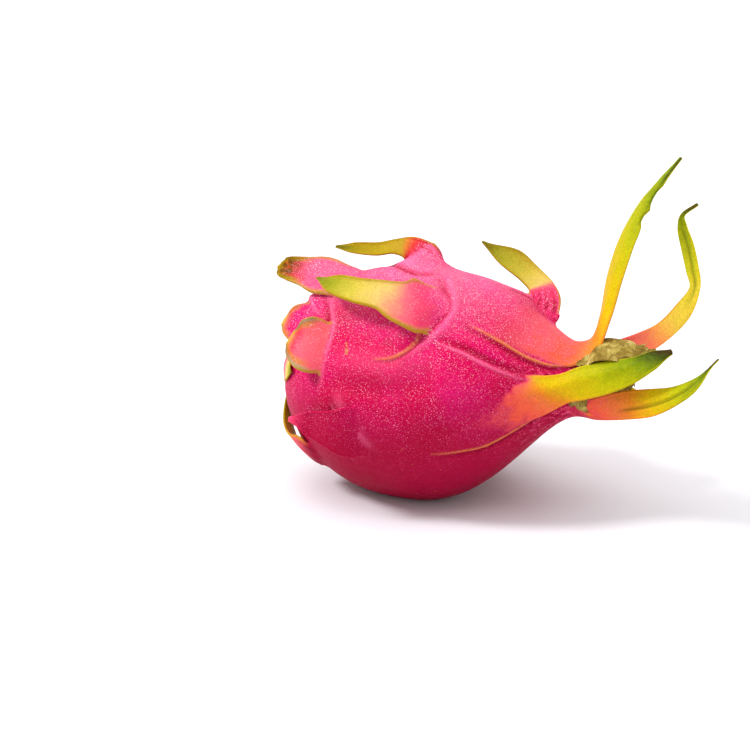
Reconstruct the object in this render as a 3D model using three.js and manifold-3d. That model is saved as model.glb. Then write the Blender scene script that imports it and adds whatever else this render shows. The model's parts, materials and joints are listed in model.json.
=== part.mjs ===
// A whole dragon fruit lying on its side, as picked.
// Millimetres, +Z up, +X from the stem end to the crown, origin at the middle of the flat resting spot.
import * as THREE from 'three';
import Module from 'manifold-3d';

const wasm = await Module();
wasm.setup();

// Driving dimensions of the body, in millimetres along the fruit from its widest place
const BELLY_RADIUS = 50;
const STEM_END = -56;
const STEM_FULLNESS = 2.2;
const NECK_START = 80;
const NECK_RADIUS = 13.2;
const NECK_FALL = 1.54;
const CROWN_END = 84;
const CROWN_RISE = 9.5;
const RISE_START = 5;
const RESTING_CUT = 1.8;
const AXIS_HEIGHT = BELLY_RADIUS - RESTING_CUT;

// Shallow bowl in the crown, where the flower stood
const BOWL_RADIUS = 11;
const BOWL_DEPTH = 6;
const BOWL_TAPER = 1.5;
const RIM_ROUNDING = 0.6;
const FLOWER_GAP = 0.4;

// Thickness of a scale at its root, along its blade and at its tip, its waved margin, and its grid
const SCALE_SHAPE = { root: 4.6, blade: 1.7, tip: 1, wave: 0.5, rings: 11, strips: 4 };
const PETAL_SHAPE = { root: 1.6, blade: 1, tip: 0.9, wave: 0.8, rings: 5, strips: 2 };
const ROOT_SHARE = 0.35;
const MARGIN_SHARE = 0.5;
const LEAST_THICKNESS = 0.8;
const TIP_HALF_WIDTH = 0.6;
const FLAT_BEND = 0.01;
const WAVE_TURNS = 9;
const WAVE_SLANT = 2;
const WAVE_START = 0.3;
const WAVE_FULL = 0.6;

// Grid of the body
const BODY_RINGS = 44;
const BODY_SIDES = 32;
const STEM_CROWDING = 0.11;
const LEAST_DETAIL = 0.03;
const SEED = 11;

const radians = THREE.MathUtils.degToRad;
const { clamp, lerp, smoothstep } = THREE.MathUtils;

function seededRandom(seed) {
  let state = seed;
  return () => {
    state = (state * 1664525 + 1013904223) % 4294967296;
    return state / 4294967296;
  };
}

// The body's smooth outline: a full belly that narrows to a neck
function bodyRadius(along) {
  if (along < 0) {
    const share = clamp(along / STEM_END, 0, 1);
    return BELLY_RADIUS * Math.sqrt(1 - share ** STEM_FULLNESS);
  }
  const share = clamp(along / NECK_START, 0, 1);
  const fall = (1 + Math.cos(Math.PI * share ** NECK_FALL)) / 2;
  return lerp(NECK_RADIUS, BELLY_RADIUS, fall);
}

function axisHeight(along) {
  return AXIS_HEIGHT + CROWN_RISE * smoothstep(along, RISE_START, CROWN_END);
}

// A place on the fruit: millimetres along it, degrees around it from the top to the front,
// distance from its axis
function place(along, around, distance) {
  const angle = radians(around);
  const y = -distance * Math.sin(angle);
  return new THREE.Vector3(along, y, axisHeight(along) + distance * Math.cos(angle));
}

function aroundDirection(around) {
  const angle = radians(around);
  return new THREE.Vector3(0, -Math.cos(angle), -Math.sin(angle));
}

// Swellings of the skin under the scales: along, around, height, length, width
const SWELLINGS = [
  [14, 34, 2.6, 13, 15],
  [2, -9, 7, 9, 11],
  [48, -34, 3.4, 10, 12],
  [-36, 14, 2.4, 12, 14],
  [-22, 58, 2, 9, 13],
  [-44, 24, 3, 8, 10],
  [-10, 100, 1.8, 10, 12],
  [46, 86, 1.6, 16, 13],
  [50, 2, 1.4, 14, 12],
  [6, 290, 2.8, 12, 15],
  [-24, 322, 2.4, 11, 14],
  [34, 250, 2.4, 12, 13],
  [-30, 258, 2.2, 11, 13],
  [4, 222, 1.6, 12, 12],
];
const LOBE_HEIGHT = 0.7;
const LOBE_COUNT = 5;

function relief(along, around) {
  let height = 0;
  for (const [s, phi, rise, length, width] of SWELLINGS) {
    const turn = THREE.MathUtils.euclideanModulo(around - phi + 180, 360) - 180;
    const across = radians(turn) * bodyRadius(s);
    height += rise * Math.exp(-((along - s) ** 2) / length ** 2 - across ** 2 / width ** 2);
  }
  const fade = Math.min(1, bodyRadius(along) / BELLY_RADIUS);
  return height + LOBE_HEIGHT * fade * Math.sin(radians(LOBE_COUNT * around + along));
}

// A closed surface from rings of points, with a point at each end
function ringedSurface(start, rings, end) {
  const count = rings[0].length;
  const points = [start, ...rings.flat(), end];
  const faces = [];
  const at = (ring, side) => 1 + ring * count + (side % count);
  for (let side = 0; side < count; side++) {
    faces.push([0, at(0, side + 1), at(0, side)]);
    faces.push([points.length - 1, at(rings.length - 1, side), at(rings.length - 1, side + 1)]);
    for (let ring = 0; ring + 1 < rings.length; ring++) {
      faces.push([at(ring, side), at(ring, side + 1), at(ring + 1, side + 1)]);
      faces.push([at(ring, side), at(ring + 1, side + 1), at(ring + 1, side)]);
    }
  }
  return solidOf(points, faces);
}

function signedVolume(points, faces) {
  const term = ([a, b, c]) => points[a].dot(points[b].clone().cross(points[c]));
  return faces.reduce((sum, face) => sum + term(face), 0);
}

function solidOf(points, faces) {
  const inward = signedVolume(points, faces) < 0;
  const outward = inward ? faces.map(([a, b, c]) => [a, c, b]) : faces;
  const vertProperties = new Float32Array(points.flatMap((p) => p.toArray()));
  const triVerts = new Uint32Array(outward.flat());
  return new wasm.Manifold(new wasm.Mesh({ numProp: 3, vertProperties, triVerts }));
}

function ringAround(along, distanceAt) {
  const ring = [];
  for (let side = 0; side < BODY_SIDES; side++) {
    const around = (360 * side) / BODY_SIDES;
    ring.push(place(along, around, distanceAt(around)));
  }
  return ring;
}

// Skin from the stem end to the rim of the crown, then the inside of the bowl
function body() {
  const rings = [];
  for (let i = 1; i <= BODY_RINGS; i++) {
    const share = i / BODY_RINGS;
    const along = lerp(STEM_END, CROWN_END,
      share - STEM_CROWDING * Math.sin(Math.PI * share) * (1 - share));
    rings.push(ringAround(along, (around) => bodyRadius(along) + relief(along, around)));
  }
  rings.push(ringAround(CROWN_END - RIM_ROUNDING, () => BOWL_RADIUS));
  rings.push(ringAround(CROWN_END - BOWL_DEPTH, () => BOWL_RADIUS - BOWL_TAPER));
  const stem = place(STEM_END, 0, 0);
  const bowl = place(CROWN_END - BOWL_DEPTH, 0, 0);
  return ringedSurface(stem, rings, bowl);
}

// A value between hand-set stations, by a smooth curve through them
function between(values, share) {
  const curve = new THREE.SplineCurve(values.map((value, i) => new THREE.Vector2(i, value)));
  return curve.getPoint(share).y;
}

// A scale, from stations along its middle: along, around, height over the skin, half width,
// bend (degrees that each half curls towards the fruit), roll (degrees)
function scale(stations, { root, blade, tip, wave, rings, strips }) {
  const path = stations.map(([s, phi, out]) => place(s, phi, bodyRadius(s) + out));
  const curve = new THREE.CatmullRomCurve3(path, false, 'centripetal');
  const column = (index, share) => between(stations.map((row) => row[index]), share);
  const points = [];
  for (let ring = 0; ring <= rings; ring++) {
    const share = ring / rings;
    const middle = curve.getPoint(share);
    const forward = curve.getTangent(share);
    const across = aroundDirection(column(1, share));
    across.addScaledVector(forward, -across.dot(forward)).normalize();
    across.applyAxisAngle(forward, radians(column(5, share)));
    const outward = across.clone().cross(forward).normalize();
    const half = Math.max(TIP_HALF_WIDTH, column(3, share));
    const bend = radians(column(4, share));
    const fleshy = lerp(root, blade, smoothstep(share, 0, ROOT_SHARE));
    const fullness = lerp(fleshy, tip, smoothstep(share, ROOT_SHARE, 1));
    const waving = wave * smoothstep(share, WAVE_START, WAVE_FULL);
    for (const side of [1, -1]) {
      for (let strip = 0; strip <= strips; strip++) {
        const u = (2 * strip) / strips - 1;
        const flat = Math.abs(bend) < FLAT_BEND;
        const wide = flat ? half * u : (half * Math.sin(bend * u)) / bend;
        const deep = flat ? 0 : (half * (1 - Math.cos(bend * u))) / bend;
        const lift = waving * u * u * Math.sin(WAVE_TURNS * share + WAVE_SLANT * u);
        const thickness = Math.max(LEAST_THICKNESS, fullness * (1 - MARGIN_SHARE * u * u));
        points.push(middle.clone().addScaledVector(across, wide)
          .addScaledVector(outward, lift - deep + (side * thickness) / 2));
      }
    }
  }
  return solidOf(points, scaleFaces(rings, strips));
}

// Both faces of a scale are split along the same diagonals, so it keeps its thickness
function scaleFaces(rings, strips) {
  const row = 2 * (strips + 1);
  const front = (ring, strip) => ring * row + strip;
  const back = (ring, strip) => ring * row + strips + 1 + strip;
  const faces = [];
  const quad = (a, b, c, d) => faces.push([a, b, c], [a, c, d]);
  for (let ring = 0; ring < rings; ring++) {
    for (let strip = 0; strip < strips; strip++) {
      const corners = (face) => [face(ring, strip), face(ring, strip + 1),
        face(ring + 1, strip + 1), face(ring + 1, strip)];
      quad(...corners(front));
      const [a, b, c, d] = corners(back);
      faces.push([a, c, b], [a, d, c]);
    }
    quad(front(ring + 1, 0), back(ring + 1, 0), back(ring, 0), front(ring, 0));
    quad(front(ring, strips), back(ring, strips), back(ring + 1, strips), front(ring + 1, strips));
  }
  for (let strip = 0; strip < strips; strip++) {
    quad(back(0, strip), back(0, strip + 1), front(0, strip + 1), front(0, strip));
    quad(front(rings, strip), front(rings, strip + 1), back(rings, strip + 1), back(rings, strip));
  }
  return faces;
}

// The scales that show from the front: along, around, height, half width, bend, roll
const LARGE_FRONT_SCALE = [
  [35, 27, -5, 5, -20, 0],
  [30, 29, -3.4, 9, -30, 0],
  [23, 31, 0.4, 11.5, -38, 0],
  [16, 36, 5.2, 13, -14, 0],
  [10, 37.5, 7.8, 10.6, 0, 0],
  [2, 37, 9.8, 7.2, 4, 0],
  [-9, 37, 11, 6, 8, 0],
  [-21, 34, 12, 4.8, 6, 0],
  [-34, 26, 12.5, 0.8, 0, 0],
];
const TOP_SCALE = [
  [2, -5, -4, 12, 4, -80],
  [1, -6, 0.5, 11, 4, -80],
  [-2, -8, 4, 9.4, 8, -74],
  [-5, -8, 6.6, 6.2, 14, -60],
  [-11, -6, 7.6, 4.2, 24, -42],
  [-18, -3, 7.5, 3.8, 28, -32],
  [-28, 0, 11.2, 3.2, 26, -26],
  [-36, 2, 17, 0.8, 0, -26],
];
const UPPER_CROWN_SIDE_SCALE = [
  [51.5, -22, -4, 10, 0, -78],
  [51.5, -26, 1, 9.6, 0, -78],
  [52, -30, 6, 7.6, 6, -74],
  [49, -33, 9.6, 5.6, 16, -64],
  [42, -33, 9.6, 5.6, 36, -54],
  [34, -29, 10, 5.6, 42, -54],
  [21, -24, 14, 0.8, 0, -54],
];
const UPPER_STEM_SIDE_SCALE = [
  [-14, 18, -4, 12, -16, 0],
  [-21, 17.5, 0.5, 12.6, -24, 0],
  [-29, 17, 5, 10, -24, -10],
  [-38, 15, 10, 9.6, -8, -24],
  [-46, 13, 17.2, 8, 8, -34],
  [-54, 12, 32.4, 6.2, 10, -38],
  [-59, 11.5, 45.6, 3.8, 8, -38],
  [-61.5, 11, 46.8, 2.4, 4, -38],
  [-63, 11, 47.4, 0.8, 0, -38],
];
const CUPPED_SCALE = [
  [-12, 60, -5, 9, -16, 0],
  [-17, 60, -2, 12, -30, 0],
  [-24, 60, 3.4, 12, -24, 0],
  [-30, 60, 7, 11.5, 6, 0],
  [-35, 59, 9, 8, 20, 0],
  [-38, 58, 11, 3.4, 10, 0],
];
const STEM_LOBE = [
  [-28, 40, -4, 8, -10, 0],
  [-35, 41, 0, 10, -12, 0],
  [-41, 42, 3, 10, -4, 0],
  [-45, 42, 6.2, 8.5, 6, 0],
  [-48, 42, 9.6, 5.8, 8, 0],
  [-50, 42, 13, 2.4, 0, 0],
];
const LOW_STEM_SIDE_SCALE = [
  [6, 100, -4, 9, -12, 0],
  [0, 100, -0.5, 12, -16, 0],
  [-7, 99, 3.5, 12, -10, 0],
  [-15, 98, 5.5, 9, 4, 0],
  [-24, 97, 7, 6, 8, 0],
  [-33, 96, 12, 1, 0, 0],
];
const UPPER_BRACT = [
  [22, 2, -5, 15, 20, 0],
  [36, 3, -1.8, 21, 28, 0],
  [48, 3, 0.2, 23.4, 36, 0],
  [60, 2, 0.8, 19.6, 44, 0],
  [72, -1, 1.2, 13.4, 46, 6],
  [79.5, -7, 5, 9.5, 34, 20],
  [82.5, -14, 16, 8.4, 24, 34],
  [84, -18, 33, 8.2, 18, 44],
  [86.5, -21, 50, 7.2, 18, 48],
  [91.5, -24, 67, 5.2, 20, 46],
  [102, -26, 86, 0.8, 0, 40],
];
const FRONT_BRACT = [
  [18, 86, -5, 16, 20, 0],
  [30, 86, -2.2, 20, 25, 0],
  [42, 87, -0.2, 20, 31, 0],
  [53, 92, 0.6, 16, 34, 0],
  [64, 91, 1.4, 10.5, 34, 0],
  [74, 82, 3.5, 6.6, 26, 0],
  [82, 72, 4.4, 7, 20, 6],
  [92, 60, 5.4, 7, 18, 10],
  [102, 48, 7, 6, 20, 10],
  [111, 35, 10, 4, 20, 10],
  [118, 26, 11.5, 0.9, 0, 10],
];
const FAR_BRACT = [
  [66, -66, -4, 9, 20, 0],
  [78, -64, -1, 10, 24, 0],
  [86, -61.5, 5.5, 8.4, 20, -6],
  [94, -58.8, 12.4, 6, 20, -14],
  [102, -54.5, 18.6, 4.8, 22, -22],
  [109, -49, 27.6, 4.4, 30, -40],
  [113, -44.5, 37.2, 2.6, 44, -78],
  [111.6, -40.7, 44.1, 3.7, 58, -104],
  [108.9, -36.9, 52.1, 4, 58, -112],
  [105.5, -34, 59.4, 2.9, 50, -112],
  [104.5, -32.7, 64, 1.2, 20, -112],
  [109.5, -33.2, 70, 0.6, 0, -112],
];
const LOWER_BRACT = [
  [60, 140, -4, 9, 20, 0],
  [74, 138, -1.5, 8, 26, 0],
  [86, 128, -0.4, 6.4, 20, -8],
  [99, 104, -0.4, 6.2, 22, -16],
  [111, 87, 0.4, 6, 28, -20],
  [120, 70, 1.4, 5, 30, -20],
  [128, 48, 3, 3.4, 24, -20],
  [136, 18, 8, 0.8, 0, -20],
];
const LOWER_NECK_SCALE = [
  [30, 146, -4, 14, 20, 0],
  [44, 146, -1, 15, 30, 0],
  [58, 144, -1, 13, 40, 0],
  [70, 142, -0.7, 10.5, 44, 0],
  [79, 140, -0.2, 7, 34, 0],
  [84, 140, 0.4, 2, 10, 0],
];

// The scales that the front hides: along, around, length, widest half width, curl away from the skin
const REFLEXED_SCALES = [
  [14, 292, 36, 7, 1],
  [-16, 312, 31, 6, 0.6],
  [42, 246, 34, 6.5, 0.9],
  [-22, 258, 30, 6.5, 0.8],
  [12, 224, 27, 6, 0.5],
  [-34, 206, 20, 6, 0.4],
  [-40, 138, 18, 6, 0.4],
];
const CROWN_BRACTS = [
  [44, 268, 28, 6.5],
  [52, 238, 26, 7],
];

function reflexedScale([along, around, length, half, curl], random) {
  const drift = 8 * (random() - 0.5);
  const lift = 2 * (random() - 0.5);
  return [
    [along + 14, around, -4, 1.5 * half, -14, 0],
    [along + 8, around, 0, 2 * half, -16, 0],
    [along, around, 2 + 2 * curl, 2 * half, -10, 0],
    [along - 0.3 * length, around + 0.3 * drift, 3 + 5 * curl, 1.3 * half, 2, 0],
    [along - 0.6 * length, around + 0.6 * drift, 3 + (6 + lift) * curl, 0.85 * half, 10, 0],
    [along - length, around + drift, 4 + (9 + 2 * lift) * curl, 0.8, 0, 0],
  ];
}

function crownBract([along, around, length, half], random) {
  const drift = 10 * (random() - 0.5);
  return [
    [along - 14, around, -4, 2 * half, 24, 0],
    [along, around, -1.2, 2.4 * half, 36, 0],
    [along + 16, around, -0.4, 1.8 * half, 40, 0],
    [along + 32, around, 1.4, half, 34, 0],
    [along + 28 + 0.4 * length, around + 0.4 * drift, 7, 0.9 * half, 24, 0],
    [along + 24 + 0.75 * length, around + 0.8 * drift, 16, 0.6 * half, 24, 0],
    [along + 20 + length, around + drift, 24, 0.8, 0, 0],
  ];
}

// Small scales that lie close to the skin round the stem end
const STEM_SCALE_COUNT = 5;

function stemScale(index, random) {
  const around = 150 + (360 * index) / STEM_SCALE_COUNT + 16 * (random() - 0.5);
  const length = 16 + 5 * (random() - 0.5);
  return [
    [-55, around, -4, 3.4, 16, 0],
    [-54, around, -0.6, 5, 26, 0],
    [-54 + 0.3 * length, around, 0.4, 6.4, 16, 0],
    [-54 + 0.65 * length, around, 1.2, 5, 12, 0],
    [-54 + length, around, 2.6, 0.8, 0, 0],
  ];
}

// The short cut stalk
function stalk() {
  const rings = [];
  for (const [along, radius] of [[STEM_END + 7, 6.5], [STEM_END - 1, 5], [STEM_END - 4, 4.4]]) {
    const bumps = (around) => radius * (1 + 0.08 * Math.sin(radians(5 * around)));
    rings.push(ringAround(along, bumps));
  }
  return ringedSurface(place(STEM_END + 7, 0, 0), rings, place(STEM_END - 3.2, 0, 0));
}

// Withered petals that stand in the bowl: around, length past the rim, half width,
// distance from the axis there
const PETALS = [
  [-40, 20, 6.4, 18.4],
  [-14, 18, 7, 18.8],
  [8, 11, 6, 18.4],
  [36, 6, 5.6, 15],
  [84, 5, 4.4, 10],
  [128, 4, 4.4, 9.4],
  [168, 5, 4.4, 9.4],
  [214, 8, 4.4, 9.6],
  [262, 12, 4.8, 11],
];
const FLOWER_RADIUS = 7.8;

function petal([around, length, half, reach]) {
  const bottom = CROWN_END - BOWL_DEPTH + FLOWER_GAP + PETAL_SHAPE.root / 2;
  const out = (distance) => distance - NECK_RADIUS;
  return [
    [bottom, around, out(FLOWER_RADIUS), half, 30, 0],
    [CROWN_END, around + 2, out(FLOWER_RADIUS + 1), half, 34, 4],
    [CROWN_END + 0.5 * length, around + 5, out(0.8 * reach), 0.95 * half, 30, 8],
    [CROWN_END + 0.8 * length, around + 3, out(0.95 * reach), 0.8 * half, 16, 10],
    [CROWN_END + length, around + 6, out(reach), 0.4 * half, 6, 10],
  ];
}

function flowerBase() {
  const base = CROWN_END - BOWL_DEPTH + FLOWER_GAP;
  const rings = [[base, FLOWER_RADIUS], [base + 3, FLOWER_RADIUS], [base + 5, 6]]
    .map(([along, radius]) => ringAround(along, () => radius));
  return ringedSurface(place(base, 0, 0), rings, place(base + 4, 0, 0));
}

// A flat resting spot: what reaches below the ground plane is cut away
function ground() {
  const slab = new THREE.BoxGeometry(400, 400, 40).translate(0, 0, -20);
  const corners = [];
  const lookup = new Map();
  const position = slab.getAttribute('position');
  const index = [];
  for (let i = 0; i < position.count; i++) {
    const corner = new THREE.Vector3().fromBufferAttribute(position, i);
    const key = corner.toArray().join();
    if (!lookup.has(key)) {
      lookup.set(key, corners.push(corner) - 1);
    }
    index.push(lookup.get(key));
  }
  const order = Array.from(slab.getIndex().array, (i) => index[i]);
  const faces = [];
  for (let i = 0; i < order.length; i += 3) {
    faces.push(order.slice(i, i + 3));
  }
  return solidOf(corners, faces);
}

function meshOf(solid, name, material) {
  const { vertProperties, triVerts } = solid.getMesh();
  const geometry = new THREE.BufferGeometry();
  geometry.setAttribute('position', new THREE.BufferAttribute(vertProperties, 3));
  geometry.setIndex(new THREE.BufferAttribute(triVerts, 1));
  geometry.computeVertexNormals();
  const mesh = new THREE.Mesh(geometry, material);
  mesh.name = name;
  return mesh;
}

// The outer surface alone, so that what fusing seals inside is filled, without needless small triangles
function outerBody(solid) {
  const bodies = solid.decompose();
  const largest = bodies.reduce((best, next) => (next.volume() > best.volume() ? next : best));
  return largest.simplify(LEAST_DETAIL);
}

function fruit() {
  const random = seededRandom(SEED);
  const shown = [LARGE_FRONT_SCALE, TOP_SCALE, UPPER_CROWN_SIDE_SCALE, UPPER_STEM_SIDE_SCALE,
    CUPPED_SCALE, STEM_LOBE, LOW_STEM_SIDE_SCALE, LOWER_NECK_SCALE, UPPER_BRACT, FRONT_BRACT,
    FAR_BRACT, LOWER_BRACT];
  const hidden = [
    ...REFLEXED_SCALES.map((row) => reflexedScale(row, random)),
    ...CROWN_BRACTS.map((row) => crownBract(row, random)),
  ];
  for (let i = 0; i < STEM_SCALE_COUNT; i++) {
    hidden.push(stemScale(i, random));
  }
  let whole = body().add(stalk());
  for (const stations of [...shown, ...hidden]) {
    whole = whole.add(scale(stations, SCALE_SHAPE));
  }
  return outerBody(whole.subtract(ground()));
}

function driedFlower() {
  const petals = PETALS.map((row) => scale(petal(row), PETAL_SHAPE));
  return outerBody(petals.reduce((whole, next) => whole.add(next), flowerBase()));
}

const skin = new THREE.MeshStandardMaterial({ color: 0xe8396b, roughness: 0.5, metalness: 0 });
const papery = new THREE.MeshStandardMaterial({ color: 0x8a7a3c, roughness: 0.9, metalness: 0 });

const dragonFruit = new THREE.Group();
dragonFruit.add(meshOf(fruit(), 'dragon_fruit', skin));
dragonFruit.add(meshOf(driedFlower(), 'dried_flower', papery));

export default dragonFruit;
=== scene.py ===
# %% [markdown]
# A whole dragon fruit lies on its side on a white table. Its skin, its scales and its long crown
# bracts grew as one piece, so they are one mesh here too. A withered flower stands in the crown.
# The CAD model gives the places and the sizes; this script gives finer forms and the finishes.

# %% The frame
import json
import math

import bpy
import numpy as np
from mathutils import Matrix, Vector
from mathutils.kdtree import KDTree

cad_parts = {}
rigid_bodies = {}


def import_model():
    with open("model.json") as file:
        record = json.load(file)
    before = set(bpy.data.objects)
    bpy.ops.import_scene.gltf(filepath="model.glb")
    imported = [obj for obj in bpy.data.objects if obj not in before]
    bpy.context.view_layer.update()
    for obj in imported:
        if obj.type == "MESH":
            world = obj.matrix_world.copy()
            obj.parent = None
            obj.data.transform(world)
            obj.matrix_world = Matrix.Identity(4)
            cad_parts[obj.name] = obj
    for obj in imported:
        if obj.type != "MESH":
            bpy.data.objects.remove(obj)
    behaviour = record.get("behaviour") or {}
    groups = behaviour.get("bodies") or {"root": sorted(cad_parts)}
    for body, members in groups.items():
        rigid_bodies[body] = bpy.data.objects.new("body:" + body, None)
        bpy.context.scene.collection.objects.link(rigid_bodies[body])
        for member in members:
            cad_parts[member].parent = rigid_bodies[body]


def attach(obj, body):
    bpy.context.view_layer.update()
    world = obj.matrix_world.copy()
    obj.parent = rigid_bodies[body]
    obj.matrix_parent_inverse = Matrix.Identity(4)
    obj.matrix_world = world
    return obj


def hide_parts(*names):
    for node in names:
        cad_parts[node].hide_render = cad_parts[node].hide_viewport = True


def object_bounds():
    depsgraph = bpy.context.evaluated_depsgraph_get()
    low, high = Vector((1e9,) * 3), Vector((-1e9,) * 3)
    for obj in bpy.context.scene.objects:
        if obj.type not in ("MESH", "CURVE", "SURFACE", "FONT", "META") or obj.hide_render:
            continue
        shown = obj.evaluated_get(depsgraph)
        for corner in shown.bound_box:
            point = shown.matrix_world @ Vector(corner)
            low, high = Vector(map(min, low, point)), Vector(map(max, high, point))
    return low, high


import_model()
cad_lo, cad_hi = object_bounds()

MM = 0.001
print("CAD box in mm:", [round(v / MM, 1) for v in (*cad_lo, *cad_hi)])

# %% [markdown]
# The camera stands where the photograph was taken: turned 25 degrees to the crown side, 18 degrees
# above the table, with a long lens, so that the near and far ends keep almost the same size.

# %% Camera
CAMERA_TURN = math.radians(25)
CAMERA_LIFT = math.radians(18)
CAMERA_DISTANCE = 900
CAMERA_LENS = 100
CAMERA_ASIDE = -16.4
CAMERA_UP = 2.38
AIM_HEIGHT = 48.2
CAMERA_REACH = 50

back = Vector((math.sin(CAMERA_TURN) * math.cos(CAMERA_LIFT),
               -math.cos(CAMERA_TURN) * math.cos(CAMERA_LIFT), math.sin(CAMERA_LIFT)))
right = Vector((0, 0, 1)).cross(back).normalized()
up = back.cross(right)
eye = Vector((0, 0, AIM_HEIGHT)) + CAMERA_DISTANCE * back + CAMERA_ASIDE * right + CAMERA_UP * up
camera_data = bpy.data.cameras.new("photo_camera")
camera_data.lens = CAMERA_LENS
camera_data.clip_end = CAMERA_REACH
camera = bpy.data.objects.new("photo_camera", camera_data)
camera.matrix_world = Matrix.Translation(eye * MM) @ Matrix((right, up, back)).transposed().to_4x4()
bpy.context.scene.collection.objects.link(camera)
bpy.context.scene.camera = camera
print("Camera stands at", tuple(round(v, 3) for v in camera.location))

# %% [markdown]
# The belly is a full oval that narrows to a neck, and the neck rises a little towards the crown.
# Every place on the fruit is told by three numbers: how far along, how far around from the top
# towards the front, and how far out from the middle. Scales and folds are laid out in them.

# %% Outline of the body
BELLY_RADIUS = 50
STEM_END = -56
STEM_FULLNESS = 2.2
NECK_START = 80
NECK_RADIUS = 13.2
NECK_FALL = 1.54
CROWN_END = 84
CROWN_RISE = 9.5
RISE_START = 5
RESTING_CUT = 1.8
AXIS_HEIGHT = BELLY_RADIUS - RESTING_CUT
BOWL_RADIUS = 11
BOWL_DEPTH = 6
BOWL_TAPER = 1.5
RIM_ROUNDING = 0.6


def smoothstep(value, low, high):
    share = np.clip((np.asarray(value, float) - low) / (high - low), 0, 1)
    return share * share * (3 - 2 * share)


def body_radius(along):
    along = np.asarray(along, float)
    to_stem = np.clip(along / STEM_END, 0, 1)
    to_neck = np.clip(along / NECK_START, 0, 1)
    fall = (1 + np.cos(np.pi * to_neck ** NECK_FALL)) / 2
    stem_side = BELLY_RADIUS * np.sqrt(1 - to_stem ** STEM_FULLNESS)
    return np.where(along < 0, stem_side, NECK_RADIUS + (BELLY_RADIUS - NECK_RADIUS) * fall)


def place(along, around, distance):
    turn = np.radians(around)
    height = AXIS_HEIGHT + CROWN_RISE * smoothstep(along, RISE_START, CROWN_END)
    return np.stack(np.broadcast_arrays(
        along, -distance * np.sin(turn), height + distance * np.cos(turn)), -1).astype(float)


def around_direction(around):
    turn = np.radians(around)
    return np.stack([np.zeros_like(turn), -np.cos(turn), -np.sin(turn)], -1)


print("Belly", 2 * BELLY_RADIUS, "mm across; neck", 2 * NECK_RADIUS, "mm across")

# %% [markdown]
# The skin isn't a plain oval. It swells under each scale, has five shallow lobes, and bears folds
# where the scales grew out of it. A swelling is a soft mound. A fold is a line on the skin with a
# raised ridge and, beside it, a groove. Both only add to the distance from the middle.

# %% Swellings and folds
# Along, around, height, length, width
SWELLINGS = [
    (14, 34, 2.6, 13, 15), (2, -9, 7, 9, 11), (48, -34, 3.4, 10, 12), (-36, 14, 2.4, 12, 14),
    (-22, 58, 2.0, 9, 13), (-44, 24, 3, 8, 10), (-10, 100, 1.8, 10, 12),
    (46, 86, 1.6, 16, 13), (50, 2, 1.4, 14, 12),
    (6, 290, 2.8, 12, 15), (-24, 322, 2.4, 11, 14), (34, 250, 2.4, 12, 13),
    (-30, 258, 2.2, 11, 13), (4, 222, 1.6, 12, 12),
]
DIMPLES = [
    (24, 66, -1.1, 6, 8), (-2, 78, -0.6, 14, 5), (33, 40, -0.8, 7, 7), (-30, 34, -1.2, 6, 6),
    (30, 98, -0.5, 9, 5),
]
LOBE_HEIGHT = 0.7
LOBE_COUNT = 5

# Points (along, around), ridge height and width, groove depth and width, side of the groove
FOLDS = {
    "welt of the large front scale":
        ([(16, 4), (23, 15), (28, 26), (29, 36), (26, 46), (20, 56), (14, 62)], 0.9, 1.6, 1.3, 2.1, 1),
    "margin of the large front scale":
        ([(19, 46), (18, 52), (14, 58), (9, 61.5), (2, 63)], 0.6, 0.45, 1.0, 0.8, -1),
    "ridge of the cupped scale":
        ([(-30, 26), (-25, 37), (-21, 47), (-20, 57), (-21, 66), (-22, 80)], 1.0, 1.2, 1.7, 1.3, 1),
    "front crest":
        ([(27, 52), (33, 54), (38, 56), (46, 61), (54, 66.5), (62, 72)], 1.0, 0.8, 1.1, 1.6, -1),
    "lower margin of the front bract":
        ([(28, 112), (38, 116), (47, 121), (57, 121), (66, 115), (71, 101)], 0.8, 0.5, 1.0, 1.0, 1),
    "margin of the upper bract":
        ([(37, 37.6), (44, 40), (51, 43), (60, 48), (68, 49), (74, 43)], 0.6, 0.5, 1.3, 1.3, 1),
    "belly shelf":
        ([(-18, 66), (-6, 65), (6, 65), (18, 63), (28, 60)], 0.9, 5.0, 0.9, 4.5, 1),
    "welt of the upper crown-side scale":
        ([(39, -8), (45, -21), (50, -31), (58, -24), (64, -4)], 0.9, 1.1, 1.1, 1.0, 1),
    "lower stem-side fold":
        ([(-15, 87), (-12, 94), (-9, 107), (-8, 118)], 0.8, 0.6, 1.1, 1.0, 1),
    "lower stem-side ridge":
        ([(-13, 82), (-8, 91), (-3, 99), (3, 107)], 0.6, 2.2, 0.5, 1.4, 1),
    "stem pleats":
        ([(-50, 14), (-46, 26), (-41, 38), (-36, 46)], 0.8, 0.8, 1.1, 0.8, 1),
    "second stem pleat":
        ([(-46, 12), (-41, 24), (-36, 34), (-31, 40)], 0.8, 0.8, 1.1, 0.8, 1),
    "top crease":
        ([(-16, -16), (-6, -2), (4, 6), (12, 4)], 0.5, 1.5, 0.9, 1.5, 1),
    "back crest":
        ([(10, 250), (24, 246), (38, 242), (50, 240)], 0.9, 1.3, 0.7, 1.4, 1),
    "back welt":
        ([(22, 272), (26, 285), (24, 300), (18, 312)], 1.1, 1.9, 1.0, 1.6, 1),
    "under welt":
        ([(-2, 196), (4, 210), (4, 226), (-2, 240)], 0.9, 1.7, 0.8, 1.4, 1),
}
FOLD_REACH = 14
FOLD_STEP = 0.5
FOLD_FADE = 0.6
FOLD_ROUGH_STEPS = 60
FULL_RIDGE_WIDTH = 1.2
FULL_GROOVE_WIDTH = 2


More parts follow.
